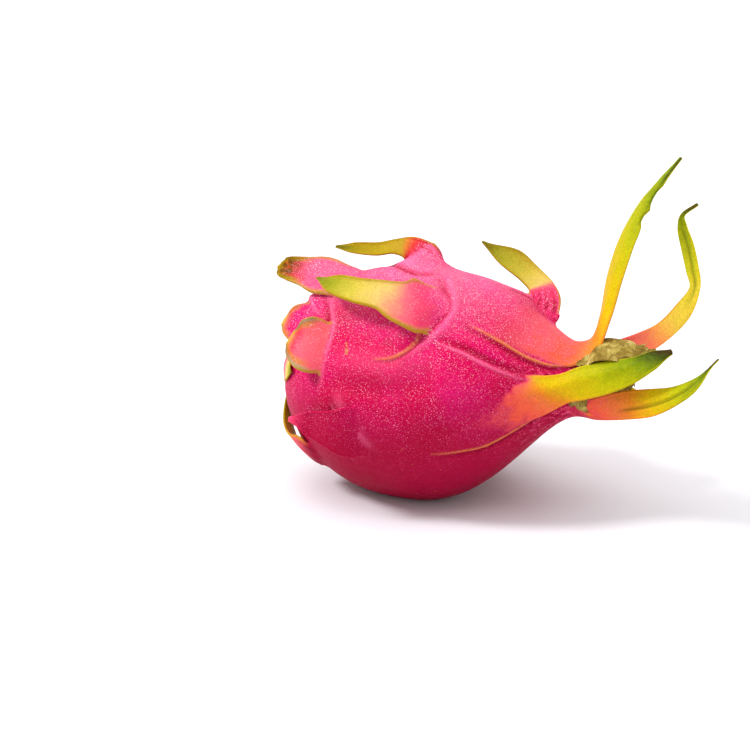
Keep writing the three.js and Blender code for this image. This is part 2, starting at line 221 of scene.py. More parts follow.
def relief(along, around):
    height = np.zeros(np.broadcast(along, around).shape)
    for s, phi, rise, length, width in SWELLINGS + DIMPLES:
        turn = (around - phi + 180) % 360 - 180
        across = np.radians(turn) * body_radius(s)
        height += rise * np.exp(-((along - s) / length) ** 2 - (across / width) ** 2)
    fade = np.minimum(1, body_radius(along) / BELLY_RADIUS)
    return height + LOBE_HEIGHT * fade * np.sin(np.radians(LOBE_COUNT * around + along))


def spline(values, share):
    """A smooth curve through given values, evenly spaced."""
    values = np.asarray(values, float)
    spot = np.clip(np.asarray(share, float), 0, 1) * (len(values) - 1)
    left = np.minimum(spot.astype(int), len(values) - 2)
    w = spot - left
    a, b = values[np.maximum(left - 1, 0)], values[left]
    c, d = values[left + 1], values[np.minimum(left + 2, len(values) - 1)]
    w = w.reshape(w.shape + (1,) * (values.ndim - 1))
    v0, v1 = (c - a) / 2, (d - b) / 2
    return (2 * b - 2 * c + v0 + v1) * w ** 3 + (-3 * b + 3 * c - 2 * v0 - v1) * w ** 2 + v0 * w + b


def track_of(line, share):
    """Places on the plain skin along a line of (along, around) pairs."""
    along, around = spline(line, share).T
    return place(along, around, body_radius(along))


def fold_heights(points, normals):
    """Height, and shares of ridge, groove and margin, that the folds give each place."""
    height, ridges, grooves, margins = (np.zeros(len(points)) for _ in range(4))
    for name, (line, rise, width, depth, groove_width, side) in FOLDS.items():
        rough = track_of(line, np.linspace(0, 1, FOLD_ROUGH_STEPS))
        length = np.linalg.norm(np.diff(rough, axis=0), axis=1).sum()
        share = np.linspace(0, 1, max(8, int(length / FOLD_STEP)))
        track = track_of(line, share)
        near = np.linalg.norm(points - track.mean(0), axis=1) < length / 2 + FOLD_REACH
        index = np.nonzero(near)[0]
        gaps = np.linalg.norm(points[index, None] - track[None], axis=2)
        closest = gaps.argmin(1)
        distance = gaps[np.arange(len(index)), closest]
        forward = np.gradient(track, axis=0)[closest]
        sideways = np.cross(forward, normals[index])
        sideways /= np.linalg.norm(sideways, axis=1)[:, None] + 1e-9
        offset = side * np.einsum("ij,ij->i", points[index] - track[closest], sideways)
        fade = np.sin(np.pi * np.clip(share[closest], 0.02, 0.98)) ** FOLD_FADE
        ridge = np.exp(-(distance / width) ** 2) * fade
        aside = np.where(offset > 0, distance, -distance) - width - groove_width
        groove = np.exp(-(aside / groove_width) ** 2) * fade * (distance < FOLD_REACH)
        height[index] += rise * ridge - depth * groove
        kept = margins if "margin" in name else ridges
        kept[index] = np.maximum(kept[index], ridge * min(1, FULL_RIDGE_WIDTH / width))
        groove *= min(1, FULL_GROOVE_WIDTH / groove_width)
        grooves[index] = np.maximum(grooves[index], groove)
    return height, ridges, grooves, margins


print(len(SWELLINGS), "swellings,", len(DIMPLES), "dimples and", len(FOLDS), "folds")

# %% [markdown]
# The skin is a net of rings from the stem end to the crown, closed in the bowl where the flower
# stood. The net is finer on the front, where the photograph shows the folds from close by.

# %% Skin of the body
BODY_RINGS = 184
BODY_SIDES = 336
FRONT_TURN = 45
FRONT_SPREAD = 62
FRONT_CROWDING = 1.9
STEM_CROWDING = 0.11
ANGLE_STEPS = 3600


def ring_angles():
    """Angles around the fruit, set closer together on the front."""
    fine = np.linspace(0, 360, ANGLE_STEPS + 1)
    turn = (fine - FRONT_TURN + 180) % 360 - 180
    density = 1 + FRONT_CROWDING * np.exp(-(turn / FRONT_SPREAD) ** 2)
    total = np.concatenate([[0], np.cumsum((density[1:] + density[:-1]) / 2)])
    return np.interp(np.linspace(0, total[-1], BODY_SIDES, endpoint=False), total, fine)


def ringed_faces(rings, sides):
    """Quads between rings, and a fan at each end. The first point is one end, the last the other."""
    ring = 1 + np.arange(rings - 1)[:, None] * sides
    side = np.arange(sides)[None]
    after = (side + 1) % sides
    quads = np.stack([ring + side, ring + after, ring + sides + after, ring + sides + side], -1)
    side, after = side[0], after[0]
    last = 1 + (rings - 1) * sides
    start = np.stack([np.zeros(sides, int), 1 + after, 1 + side], -1)
    end = np.stack([np.full(sides, 1 + rings * sides), last + side, last + after], -1)
    return quads.reshape(-1, 4).tolist() + start.tolist() + end.tolist()


def mesh_from(name, points_mm, faces, group=None):
    mesh = bpy.data.meshes.new(name)
    mesh.from_pydata((np.asarray(points_mm) * MM).tolist(), [], faces)
    mesh.update()
    thing = bpy.data.objects.new(name, mesh)
    (group or bpy.context.scene.collection).objects.link(thing)
    return thing


def facing_out(thing):
    """Turns every face outwards if the closed mesh came out inside out."""
    mesh = thing.data
    mesh.calc_loop_triangles()
    corners = np.array([t.vertices[:] for t in mesh.loop_triangles])
    points = np.array([v.co[:] for v in mesh.vertices])
    a, b, c = points[corners[:, 0]], points[corners[:, 1]], points[corners[:, 2]]
    if np.einsum("ij,ij->i", a, np.cross(b, c)).sum() < 0:
        mesh.flip_normals()
    return thing


def smoothed(mesh):
    for polygon in mesh.polygons:
        polygon.use_smooth = True


share = np.arange(1, BODY_RINGS + 1) / BODY_RINGS
along = STEM_END + (CROWN_END - STEM_END) * (
    share - STEM_CROWDING * np.sin(np.pi * share) * (1 - share))
around = ring_angles()
along_net, around_net = (net.ravel() for net in np.meshgrid(along, around, indexing="ij"))
plain = place(along_net, around_net, body_radius(along_net))
outward = place(along_net, around_net, body_radius(along_net) + 1) - plain
raised, skin_ridge, skin_groove, skin_margin = fold_heights(plain, outward)
skin = place(along_net, around_net,
             body_radius(along_net) + relief(along_net, around_net) + raised)
bowl = [place(CROWN_END - RIM_ROUNDING, around, np.full(BODY_SIDES, float(BOWL_RADIUS))),
        place(CROWN_END - BOWL_DEPTH, around, np.full(BODY_SIDES, BOWL_RADIUS - BOWL_TAPER))]
body_points = np.concatenate([
    place(STEM_END, 0, 0)[None], skin, *bowl, place(CROWN_END - BOWL_DEPTH, 0, 0)[None]])
bowl_padding = np.zeros(len(bowl) * BODY_SIDES + 1)
body_ridge, body_groove, body_margin = (
    np.concatenate([[0], data, bowl_padding]) for data in (skin_ridge, skin_groove, skin_margin))
body = facing_out(mesh_from("body", body_points, ringed_faces(BODY_RINGS + 2, BODY_SIDES)))
print("Skin:", len(body.data.polygons), "faces")

# %% [markdown]
# A scale is a fleshy blade that grows out of the skin and curls away from it. Each is laid out by
# stations along its middle: where it is, how far it stands off the skin, how wide it is there, how
# much its edges curl, and how far it is turned. A smooth curve joins them, and a rounded section
# follows the curve. Thickness fades from the fleshy root to a thin tip.

# %% How a scale is shaped
ROOT_THICKNESS = 4.6
BLADE_THICKNESS = 1.7
TIP_THICKNESS = 0.7
ROOT_SHARE = 0.35
EDGE_FULLNESS = 0.32
TIP_HALF_WIDTH = 0.35
WAVE_HEIGHT = 0.5
WAVE_TURNS = 9
WAVE_SLANT = 2
RIM_HEIGHT = 0.32
RIM_PLACE = 0.93
RIM_WIDTH = 0.06
RIM_FULL_AT = 5
EDGE_THINNING = 0.25
TIP_POINT = 0.3
LEAST_BEND = 0.01
CREASE_FADE = 0.12
FINE_CREASE = 0.2
WRINKLE_FADE = 0.1
TANGENT_STEP = 1e-4


def centripetal(points, share):
    """A smooth path through points in space, which rounds its corners without loops."""
    points = np.asarray(points, float)
    padded = np.vstack([2 * points[0] - points[1], points, 2 * points[-1] - points[-2]])
    spot = np.clip(share, 0, 1) * (len(points) - 1)
    left = np.minimum(spot.astype(int), len(points) - 2)
    w = (spot - left)[:, None]
    a, b, c, d = (padded[left + k] for k in range(4))
    gap0, gap1, gap2 = (np.sqrt(np.linalg.norm(q - p, axis=1))[:, None]
                        for p, q in ((a, b), (b, c), (c, d)))
    v0 = ((b - a) / gap0 - (c - a) / (gap0 + gap1) + (c - b) / gap1) * gap1
    v1 = ((c - b) / gap1 - (d - b) / (gap1 + gap2) + (d - c) / gap2) * gap1
    return b + v0 * w + (-3 * b + 3 * c - 2 * v0 - v1) * w ** 2 + (2 * b - 2 * c + v0 + v1) * w ** 3


def between_ends(t, start, end, fade):
    """One between two places, and zero outside them, with a soft step at each."""
    return smoothstep(t, start, start + fade) * (1 - smoothstep(t, end - fade, end))


def scale_points(stations, rings, sides, details=None, root=ROOT_THICKNESS,
                 blade=BLADE_THICKNESS, tip=TIP_THICKNESS, wave=WAVE_HEIGHT):
    """Points of a closed scale, with the share along and across (-1 to 1) and the crease of each."""
    details = details or {}
    table = np.array([(*row, 0)[:6] for row in stations], float)
    share = np.linspace(0, 1, rings)
    path = place(table[:, 0], table[:, 1], body_radius(table[:, 0]) + table[:, 2])
    middle = centripetal(path, share)
    forward = (centripetal(path, np.minimum(share + TANGENT_STEP, 1))
               - centripetal(path, np.maximum(share - TANGENT_STEP, 0)))
    forward /= np.linalg.norm(forward, axis=1)[:, None]
    across = around_direction(spline(table[:, 1], share))
    across -= np.einsum("ij,ij->i", across, forward)[:, None] * forward
    across /= np.linalg.norm(across, axis=1)[:, None]
    roll = np.radians(spline(table[:, 5], share))[:, None]
    across = across * np.cos(roll) + np.cross(forward, across) * np.sin(roll)
    outward = np.cross(across, forward)
    outward /= np.linalg.norm(outward, axis=1)[:, None]

    half = np.maximum(TIP_HALF_WIDTH, spline(table[:, 3], share))[:, None]
    bend = np.radians(spline(table[:, 4], share))[:, None]
    bend = np.where(np.abs(bend) < LEAST_BEND, LEAST_BEND, bend)
    fleshy = root + (blade - root) * smoothstep(share, 0, ROOT_SHARE)
    fullness = (fleshy + (tip - fleshy) * smoothstep(share, ROOT_SHARE, 1))[:, None]
    waving = wave * smoothstep(share, 0.3, 0.6)[:, None]

    angle = 2 * np.pi * np.arange(sides) / sides
    u = -np.cos(angle)[None]
    face = np.sign(np.sin(angle))[None] * (np.abs(np.sin(angle)) > 1e-6)
    t = share[:, None]
    wide = half * np.sin(bend * u) / bend
    deep = half * (1 - np.cos(bend * u)) / bend
    for side, start, end, depth in details.get("tears", []):
        hit = smoothstep(t, start, (start + end) / 2) * (t < end)
        wide = wide * (1 - depth * hit * (np.sign(u) == side) * np.abs(u) ** 3)
    lift = waving * u * u * np.sin(WAVE_TURNS * t + WAVE_SLANT * u)
    crease = np.zeros_like(lift)
    for u0, height, width, start, end in details.get("lengthwise", []):
        line = between_ends(t, start, end, CREASE_FADE) * np.exp(-((u - u0) / width) ** 2)
        lift = lift + height * line
        crease = crease + line * (height < 0) * (width < FINE_CREASE)
    for height, count, start, end in details.get("wrinkles", []):
        fade = between_ends(t, start, end, WRINKLE_FADE)
        waves = np.sin(count * np.pi * u + 1.2 * np.sin(9 * t) + 1.3)
        lift = lift + height * fade * waves
        crease = crease + fade * smoothstep(-waves, 0.1, 0.9)
    profile = np.clip(1 - u * u, 0, 1) ** EDGE_FULLNESS
    rim = RIM_HEIGHT * np.exp(-((np.abs(u) - RIM_PLACE) / RIM_WIDTH) ** 2) * smoothstep(t, 0.1, 0.3)
    rim = rim * (1 - smoothstep(t, 0.85, 1)) * np.minimum(1, half / RIM_FULL_AT)
    rim = rim * details.get("rim", 1)
    half_thickness = fullness / 2 * profile * (1 - EDGE_THINNING * u * u) + rim * (face != 0)
    points = (middle[:, None] + across[:, None] * wide[..., None]
              + outward[:, None] * (lift - deep + face * half_thickness)[..., None])
    points = np.concatenate([middle[:1], points.reshape(-1, 3),
                             centripetal(path, np.array([1.0])) + TIP_POINT * forward[-1]])
    along_share = np.concatenate([[0], np.repeat(share, sides), [1]])
    across_share = np.concatenate([[0], np.tile(u[0], rings), [0]])
    creased = np.concatenate([[0], (crease * np.ones_like(u)).ravel(), [0]])
    return points, along_share, across_share, creased


print("Scales are", ROOT_THICKNESS, "mm thick at the root and", TIP_THICKNESS, "mm at the tip")

# %% [markdown]
# These are the scales and bracts that the photograph shows. "ripening" says how far along the
# scale the pink ends and where it is fully yellow, fully green, and where the dry tip starts.
# A crown bract turns through coral and orange; a body scale goes straight from pink to cream.

# %% Scales that show from the front
# Stations: along, around, height over the skin, half width, then bend and roll in degrees. A
# station that has no roll leaves it out.
SHOWN_SCALES = {
    "large_front_scale": dict(
        stations=[
            (35, 27, -5, 5, -20), (30, 29, -3.4, 9, -30), (23, 31, 0.4, 11.5, -38),
            (16, 36, 5.2, 13, -14), (10, 37.5, 7.8, 10.6, 0), (2, 37, 9.8, 7.2, 4),
            (-9, 37, 11, 6, 8), (-21, 34, 12, 4.8, 6), (-34, 26, 12.5, 0.8, 0)],
        ripening=(0.36, 0.66, 0.9, 1.04), crown=0, olive=0.1, edge=1.6,
        details=dict(rim=2.2, lengthwise=[(0.1, -0.5, 0.4, 0.2, 0.8)])),
    "top_scale": dict(
        stations=[
            (2, -5, -4, 12, 4, -80), (1, -6, 0.5, 11, 4, -80), (-2, -8, 4, 9.4, 8, -74),
            (-5, -8, 6.6, 6.2, 14, -60), (-11, -6, 7.6, 4.2, 24, -42), (-18, -3, 7.5, 3.8, 28, -32),
            (-28, 0, 11.2, 3.4, 26, -26), (-35.6, 2, 16.6, 1.3, 0, -26)],
        ripening=(0.42, 0.52, 0.88, 0.97), crown=0, olive=0.85,
        stains=[(1.0, 0, 0.12, 2, 0.3)],
        details=dict(wrinkles=[(0.5, 5.5, 0.1, 0.5)])),
    "upper_crown_side_scale": dict(
        stations=[
            (51.5, -22, -4, 10, 0, -78), (51.5, -26, 1, 9.6, 0, -78), (52, -30, 6, 7.6, 6, -74),
            (49, -33, 9.6, 5.8, 16, -64), (42, -33, 9.6, 6, 36, -54), (33, -29, 10.4, 6.4, 40, -54),
            (21, -24, 14, 0.9, 0, -54)],
        ripening=(0.46, 0.53, 0.95, 1.05), crown=0, olive=0.15,
        stains=[(0.97, 0, 0.06, 2, 0.5)],
        details=dict(wrinkles=[(0.55, 5, 0.08, 0.5)])),
    "upper_stem_side_scale": dict(
        stations=[
            (-14, 18, -4, 12, -16), (-21, 17.5, 0.5, 12.6, -24), (-29, 17, 5, 10, -24, -10),
            (-38, 15, 10, 9.6, -8, -24), (-46, 13, 17.6, 7.2, 8, -34),
            (-54, 12, 33.4, 5.6, 10, -38), (-57.6, 11.5, 47, 4.4, 8, -38),
            (-59.2, 11, 47.1, 2.8, 4, -38), (-60.2, 11, 47.3, 0.8, 0, -38)],
        ripening=(0.62, 0.78, 1.05, 1.3), crown=0, olive=1, blush=0.3, edge=1.6,
        # A dark brown patch near the tip, in the hollow of the blade
        stains=[(0.7, -0.1, 0.14, 0.8, 1.6)],
        details=dict(rim=2.2, lengthwise=[(-0.3, 0.4, 0.2, 0.3, 0.9)])),
    "cupped_scale": dict(
        stations=[
            (-12, 60, -5, 9, -16), (-17, 60, -2, 12, -30), (-24, 60, 3.4, 12, -24),
            (-30, 60, 7, 11.5, 6), (-35, 59, 9, 8, 20), (-38, 58, 11, 3.4, 10)],
        ripening=(0.8, 1.02, 1.2, 1.4), crown=0, olive=0.6, blush=0.95, ash=0.9,
        details=dict(rim=2.4, lengthwise=[(-0.35, 0.6, 0.25, 0.2, 0.9)])),
    "stem_lobe": dict(
        stations=[
            (-28, 40, -4, 8, -10), (-35, 41, 0, 10, -12), (-41, 42, 3, 10, -4),
            (-45, 42, 6.2, 8.5, 6), (-48, 42, 9.6, 5.8, 8), (-50, 42, 13, 2.4, 0)],
        ripening=(0.72, 0.98, 1.1, 1.4), crown=0, olive=0.5, details=dict(rim=1.6)),
    "low_stem_side_scale": dict(
        stations=[
            (6, 100, -4, 9, -12), (0, 100, -0.5, 12, -16), (-7, 99, 3.5, 12, -10),
            (-15, 98, 5.5, 9, 4), (-24, 97, 7, 6, 8), (-33, 96, 12, 1, 0)],
        ripening=(0.98, 1.1, 1.3, 1.5), crown=0, edge=0, details=dict(rim=1)),
    "upper_bract": dict(
        stations=[
            (22, 2, -5, 15, 20), (36, 3, -1.8, 21, 28), (48, 3, 0.2, 23.4, 36),
            (60, 2, 0.8, 19.6, 44), (72, -1, 1.2, 13.4, 46, 6), (79.5, -7, 5, 9.5, 34, 20),
            (82.5, -14, 16, 8.4, 24, 34), (84, -18, 33, 8.2, 18, 44), (86.5, -21, 50, 7.2, 18, 48),
            (91.5, -24, 67, 5.2, 20, 46), (102, -26, 86, 0.8, 0, 40)],
        ripening=(0.45, 0.62, 0.97, 1.04), crown=1, blush=1, slant=-0.07,
        details=dict(tears=[(1, 0.82, 0.86, 0.5), (1, 0.87, 0.93, 0.6), (-1, 0.9, 0.94, 0.35)],
                     lengthwise=[(0.35, 0.5, 0.3, 0.5, 0.95)])),
    "front_bract": dict(
        stations=[
            (18, 86, -5, 16, 20), (30, 86, -2.2, 20, 25), (42, 87, -0.2, 20, 31),
            (53, 92, 0.6, 16, 34), (64, 91, 1.4, 10.5, 34), (74, 82, 3.5, 6.6, 26),
            (82, 72, 4.4, 7, 20, 6), (92, 60, 5.4, 7, 18, 10), (102, 48, 7, 6, 20, 10),
            (111, 35, 10, 4.6, 20, 10), (118, 26, 11.5, 1.2, 0, 10)],
        ripening=(0.36, 0.49, 0.84, 0.96), crown=1, slant=0.06,
        details=dict(lengthwise=[(-0.3, 0.8, 0.35, 0.3, 0.95)])),
    "far_bract": dict(
        stations=[
            (66, -66, -4, 9, 20), (78, -64, -1, 10, 24), (86, -61.5, 5.5, 8.4, 20, -6),
            (94, -58.8, 12.4, 6, 20, -14), (102, -54.5, 18.6, 4.8, 22, -22),
            (109, -49, 27.6, 4.4, 30, -40), (113, -44.5, 37.2, 2.6, 44, -78),
            (111.6, -40.7, 44.1, 3.7, 58, -104), (108.9, -36.9, 52.1, 4, 58, -112),
            (105.5, -34, 59.4, 2.9, 50, -112), (104.5, -32.7, 64, 1.2, 20, -112),
            (109.5, -33.2, 70, 0.6, 0, -112)],
        # Painted backlight: the colour of this thin bract is brightened
        ripening=(0.22, 0.42, 0.88, 0.965), crown=0.7, blush=1, sunlit=1,
        details=dict(lengthwise=[(0.0, -0.9, 0.18, 0.45, 0.9)])),
    "lower_bract": dict(
        stations=[
            (60, 140, -4, 9, 20), (74, 138, -1.5, 8, 26), (86, 128, -0.4, 6.4, 20, -8),
            (99, 104, -0.4, 6.2, 22, -16), (111, 87, 0.4, 6, 28, -20), (120, 70, 1.4, 5, 30, -20),
            (128, 48, 3, 4.1, 24, -20), (136, 18, 8, 0.8, 0, -20)],
        ripening=(0.3, 0.56, 0.88, 0.985), crown=1,
        details=dict(lengthwise=[(0.25, -0.9, 0.12, 0.35, 0.95)])),
    "lower_neck_scale": dict(
        stations=[
            (30, 146, -4, 14, 20), (44, 146, -1, 15, 30), (58, 144, -1, 13, 40),
            (70, 142, -0.7, 10.5, 44), (79, 140, -0.2, 7, 34), (84, 140, 0.4, 2, 10)],
        ripening=(0.8, 1.05, 1.3, 1.5), crown=1, details=dict(rim=1.3)),
}
print(len(SHOWN_SCALES), "scales show from the front")

# %% [markdown]
# The photograph hides the far side. A dragon fruit bears its scales all round in rough spirals, so
# the hidden ones follow the same pattern: reflexed scales on the belly, bracts at the crown, and
# a whorl of small flat ones round the cut stalk. The seed is the CAD model's.

# %% Scales on the hidden side
SEED = 11
# Along, around, length, widest half width, curl away from the skin
REFLEXED_SCALES = [(14, 292, 36, 7, 1), (-16, 312, 31, 6, 0.6), (42, 246, 34, 6.5, 0.9),
                   (-22, 258, 30, 6.5, 0.8), (12, 224, 27, 6, 0.5), (-34, 206, 20, 6, 0.4),
                   (-40, 138, 18, 6, 0.4)]
CROWN_BRACTS = [(44, 268, 28, 6.5), (52, 238, 26, 7)]
STEM_SCALE_COUNT = 5


def seeded_random(seed):
    state = seed
    while True:
        state = (state * 1664525 + 1013904223) % 4294967296
        yield state / 4294967296


def reflexed_scale(along, around, length, half, curl, chance):
    drift = 8 * (next(chance) - 0.5)
    lift = 2 * (next(chance) - 0.5)
    return [(along + 14, around, -4, 1.5 * half, -14), (along + 8, around, 0, 2 * half, -16),
            (along, around, 2 + 2 * curl, 2 * half, -10),
            (along - 0.3 * length, around + 0.3 * drift, 3 + 5 * curl, 1.3 * half, 2),
            (along - 0.6 * length, around + 0.6 * drift, 3 + (6 + lift) * curl, 0.85 * half, 10),
            (along - length, around + drift, 4 + (9 + 2 * lift) * curl, 0.8, 0)]


def crown_bract(along, around, length, half, chance):
    drift = 10 * (next(chance) - 0.5)
    return [(along - 14, around, -4, 2 * half, 24), (along, around, -1.2, 2.4 * half, 36),
            (along + 16, around, -0.4, 1.8 * half, 40), (along + 32, around, 1.4, half, 34),
            (along + 28 + 0.4 * length, around + 0.4 * drift, 7, 0.9 * half, 24),
            (along + 24 + 0.75 * length, around + 0.8 * drift, 16, 0.6 * half, 24),
            (along + 20 + length, around + drift, 24, 0.8, 0)]


def stem_scale(index, chance):
    around = 150 + 360 * index / STEM_SCALE_COUNT + 16 * (next(chance) - 0.5)
    length = 16 + 5 * (next(chance) - 0.5)
    return [(-55, around, -4, 3.4, 16), (-54, around, -0.6, 5, 26),
            (-54 + 0.3 * length, around, 0.4, 6.4, 16),
            (-54 + 0.65 * length, around, 1.2, 5, 12), (-54 + length, around, 2.6, 0.8, 0)]


chance = seeded_random(SEED)
hidden_scales = {}
for row in REFLEXED_SCALES:
    hidden_scales[f"reflexed_scale_{len(hidden_scales)}"] = dict(
        stations=reflexed_scale(*row, chance), ripening=(0.4, 0.66, 0.9, 1.0), crown=0.3,
        details=dict(wrinkles=[(0.3, 4, 0.1, 0.5)]))
for row in CROWN_BRACTS:
    hidden_scales[f"crown_bract_{len(hidden_scales)}"] = dict(
        stations=crown_bract(*row, chance), ripening=(0.4, 0.62, 0.88, 0.97), crown=1,
        details=dict(lengthwise=[(0.1, 0.6, 0.3, 0.4, 0.95)]))
for index in range(STEM_SCALE_COUNT):
    hidden_scales[f"stem_scale_{index}"] = dict(
        stations=stem_scale(index, chance), ripening=(0.5, 0.8, 0.95, 1.1), crown=0, details={})
print(len(hidden_scales), "scales on the hidden side and at the stem")

# %% [markdown]
# Each scale is made as a closed blade whose root reaches into the skin. The rows below remember,
# for each point of each scale, how far along and across it lies and how ripe it is: the finishes
# need it later. The short stub of the cut stalk is made with them.

# %% Blades of all scales
SHOWN_NET = (64, 44)
HIDDEN_NET = (40, 28)
STALK = [(STEM_END + 7, 6.5), (STEM_END - 1, 5), (STEM_END - 4, 4.4)]
STALK_SIDES = 48
STALK_GROOVES = 5
STALK_DISH = 3.2
FIRST_BLUSH = 0.2
RIPENESS_STEPS = (0, 0.12, 0.5, 0.85, 1)


def stained(t, u, spots):
    """How brown each point is: each spot has a middle along and across, its reach, and a depth."""
    brown = np.zeros(len(t))
    for t0, u0, t_reach, u_reach, depth in spots:
        brown += depth * np.exp(-((t - t0) / t_reach) ** 2 - ((u - u0) / u_reach) ** 2)
    return np.clip(brown, 0, 1)


# What each scale may have its own share of: olive blade, pale base, ashy line, width of the
# mustard edge, and painted backlight, which brightens the colour of a thin blade as if light shone
# through it
SCALE_TINTS = dict(olive=0, blush=0, ash=0, edge=1, sunlit=0)

scales = bpy.data.collections.new("scales")
scale_rows = []
for name, scale in {**SHOWN_SCALES, **hidden_scales}.items():
    net = SHOWN_NET if name in SHOWN_SCALES else HIDDEN_NET
    points, t, u, creased = scale_points(scale["stations"], *net, scale["details"])
    facing_out(mesh_from(name, points, ringed_faces(*net), scales))
    first = scale["ripening"][0]
    slanted = t - scale.get("slant", 0) * u
    progress = np.interp(slanted, (first - FIRST_BLUSH, *scale["ripening"]), RIPENESS_STEPS)
    scale_rows.append((points, np.column_stack([
        t, u, progress, np.full(len(t), scale["crown"]), creased,
        stained(t, u, scale.get("stains", [])),
        *(np.full(len(t), scale.get(tint, usual)) for tint, usual in SCALE_TINTS.items())])))

stalk_turn = np.arange(STALK_SIDES) * 360 / STALK_SIDES
grooved = 1 + 0.08 * np.sin(np.radians(STALK_GROOVES * stalk_turn))
stalk_points = np.concatenate([
    place(STALK[0][0], 0, 0)[None],
    *(place(along, stalk_turn, radius * grooved) for along, radius in STALK),
    place(STEM_END - STALK_DISH, 0, 0)[None]])
facing_out(mesh_from("stalk", stalk_points, ringed_faces(len(STALK), STALK_SIDES), scales))

# %% [markdown]
# Blender's Boolean modifier fuses all scales with the skin, so no walls are left inside. Each
# result is kept as a plain mesh, and the modifier goes again. A slab under the table cuts the
# small flat spot on which the fruit rests.

# %% Fusing the fruit
BOX_INSET = 0.005
SLAB_REACH = 400
SLAB_DEPTH = 40
SLAB_FACES = [(0, 1, 3, 2), (4, 6, 7, 5), (0, 4, 5, 1), (2, 3, 7, 6), (0, 2, 6, 4), (1, 5, 7, 3)]


def kept_result(thing, modifier):
    """Keeps what a modifier makes as the thing's plain mesh, and takes the modifier off."""
    evaluated = thing.evaluated_get(bpy.context.evaluated_depsgraph_get())
    mesh = bpy.data.meshes.new_from_object(evaluated)
    thing.modifiers.remove(modifier)
    thing.data = mesh
    return thing


def fused(thing, operation, **operand):
    modifier = thing.modifiers.new("fuse", "BOOLEAN")
    modifier.operation = operation
    modifier.solver = "MANIFOLD"
    for key, value in operand.items():
        setattr(modifier, key, value)
    return kept_result(thing, modifier)


def drop(collection):
    for thing in list(collection.objects):
        bpy.data.objects.remove(thing)
    bpy.data.collections.remove(collection)


def held_in_box(mesh):
    """Keeps a mesh within the box of the part, where noise or a fleck would reach past it."""
    low, high = np.array(cad_lo[:]) + BOX_INSET * MM, np.array(cad_hi[:]) - BOX_INSET * MM
    low[2] = cad_lo[2]
    spots = np.clip([v.co[:] for v in mesh.vertices], low, high)
    mesh.vertices.foreach_set("co", spots.ravel())
    mesh.update()


sides = (-SLAB_REACH, SLAB_REACH)
slab_corners = [(x, y, z) for x in sides for y in sides for z in (-SLAB_DEPTH, 0)]
slab = facing_out(mesh_from("slab", slab_corners, SLAB_FACES))
fused(body, "UNION", operand_type="COLLECTION", collection=scales)
fused(body, "DIFFERENCE", operand_type="OBJECT", object=slab)
bpy.data.objects.remove(slab)
drop(scales)
print("Fused fruit:", len(body.data.vertices), "points,", len(body.data.polygons), "faces")

# %% [markdown]
# Where a scale leaves the skin, the flesh flows over in a soft curve. Each point learns how far
# it is from such a seam, over the surface, and points near a seam are evened out: widely at a
# body scale's root, and barely along a crown bract, whose edge stays crisp on the skin.

# %% Softening the seams
SOFT_REACH = 4.0
CRISP_REACH = 1.0
SMOOTH_ROUNDS = 26
SMOOTH_STRENGTH = 0.6
SPREAD_ROUNDS = 24
CRISP_WEIGHT = 0.6
LEAST_CRISP_WEIGHT = 0.5
CROWN_FROM = 0.9
GROUND_GUARD = 0.05
LEAST_EASE = 0.25
TINT_ROUNDS = 8
CROWN_ROUNDS = 12

mesh = body.data
points = np.array([v.co[:] for v in mesh.vertices]) / MM
edges = np.array([e.vertices[:] for e in mesh.edges])


def nearest(source, targets):
    tree = KDTree(len(source))
    for index, point in enumerate(source):
        tree.insert(point, index)
    tree.balance()
    found = [tree.find(point) for point in targets]
    return np.array([f[1] for f in found]), np.array([f[2] for f in found])


scale_source = np.concatenate([row[0] for row in scale_rows])
scale_values = np.concatenate([row[1] for row in scale_rows])
scale_index, scale_gap = nearest(scale_source, points)
body_index, body_gap = nearest(body_points, points)
on_scale = scale_gap < body_gap
values = np.where(on_scale[:, None], scale_values[scale_index], 0)
t, u, progress, crown, creased, stain, olive, blush, ash, edge, sunlit = values.T
ridge = np.where(on_scale, 0, body_ridge[body_index])
groove = np.where(on_scale, creased, body_groove[body_index])
margin = np.where(on_scale, 0, body_margin[body_index])

near_end, far_end = edges.T
length = np.linalg.norm(points[near_end] - points[far_end], axis=1)


def spread_from(seeds, limit):
    gap = np.where(seeds, 0.0, 2 * limit)
    for _ in range(SPREAD_ROUNDS):
        for a, b in ((near_end, far_end), (far_end, near_end)):
            np.minimum.at(gap, a, gap[b] + length)
    return gap


seam = np.zeros(len(points), bool)
seam[edges[on_scale[near_end] != on_scale[far_end]].ravel()] = True
crown_here = crown.copy()
np.maximum.at(crown_here, near_end, crown[far_end])
np.maximum.at(crown_here, far_end, crown[near_end])
soft = 1 - smoothstep(spread_from(seam & (crown_here < CROWN_FROM), SOFT_REACH), 0, SOFT_REACH)
crisp = 1 - smoothstep(spread_from(seam, CRISP_REACH), 0, CRISP_REACH)
weight = np.maximum(soft, CRISP_WEIGHT * crisp) * (1 - smoothstep(t, 0.4, 0.5))
weight = np.maximum(weight, LEAST_CRISP_WEIGHT * crisp)


def evened(data, weights, rounds):
    data = data.copy()
    count = np.bincount(edges.ravel(), minlength=len(data)).astype(float)
    count = count.reshape((-1,) + (1,) * (data.ndim - 1))
    weights = weights.reshape((-1,) + (1,) * (data.ndim - 1))
    for _ in range(rounds):
        total = np.zeros_like(data)
        np.add.at(total, near_end, data[far_end])
        np.add.at(total, far_end, data[near_end])
        data += weights * (total / count - data) * SMOOTH_STRENGTH
    return data


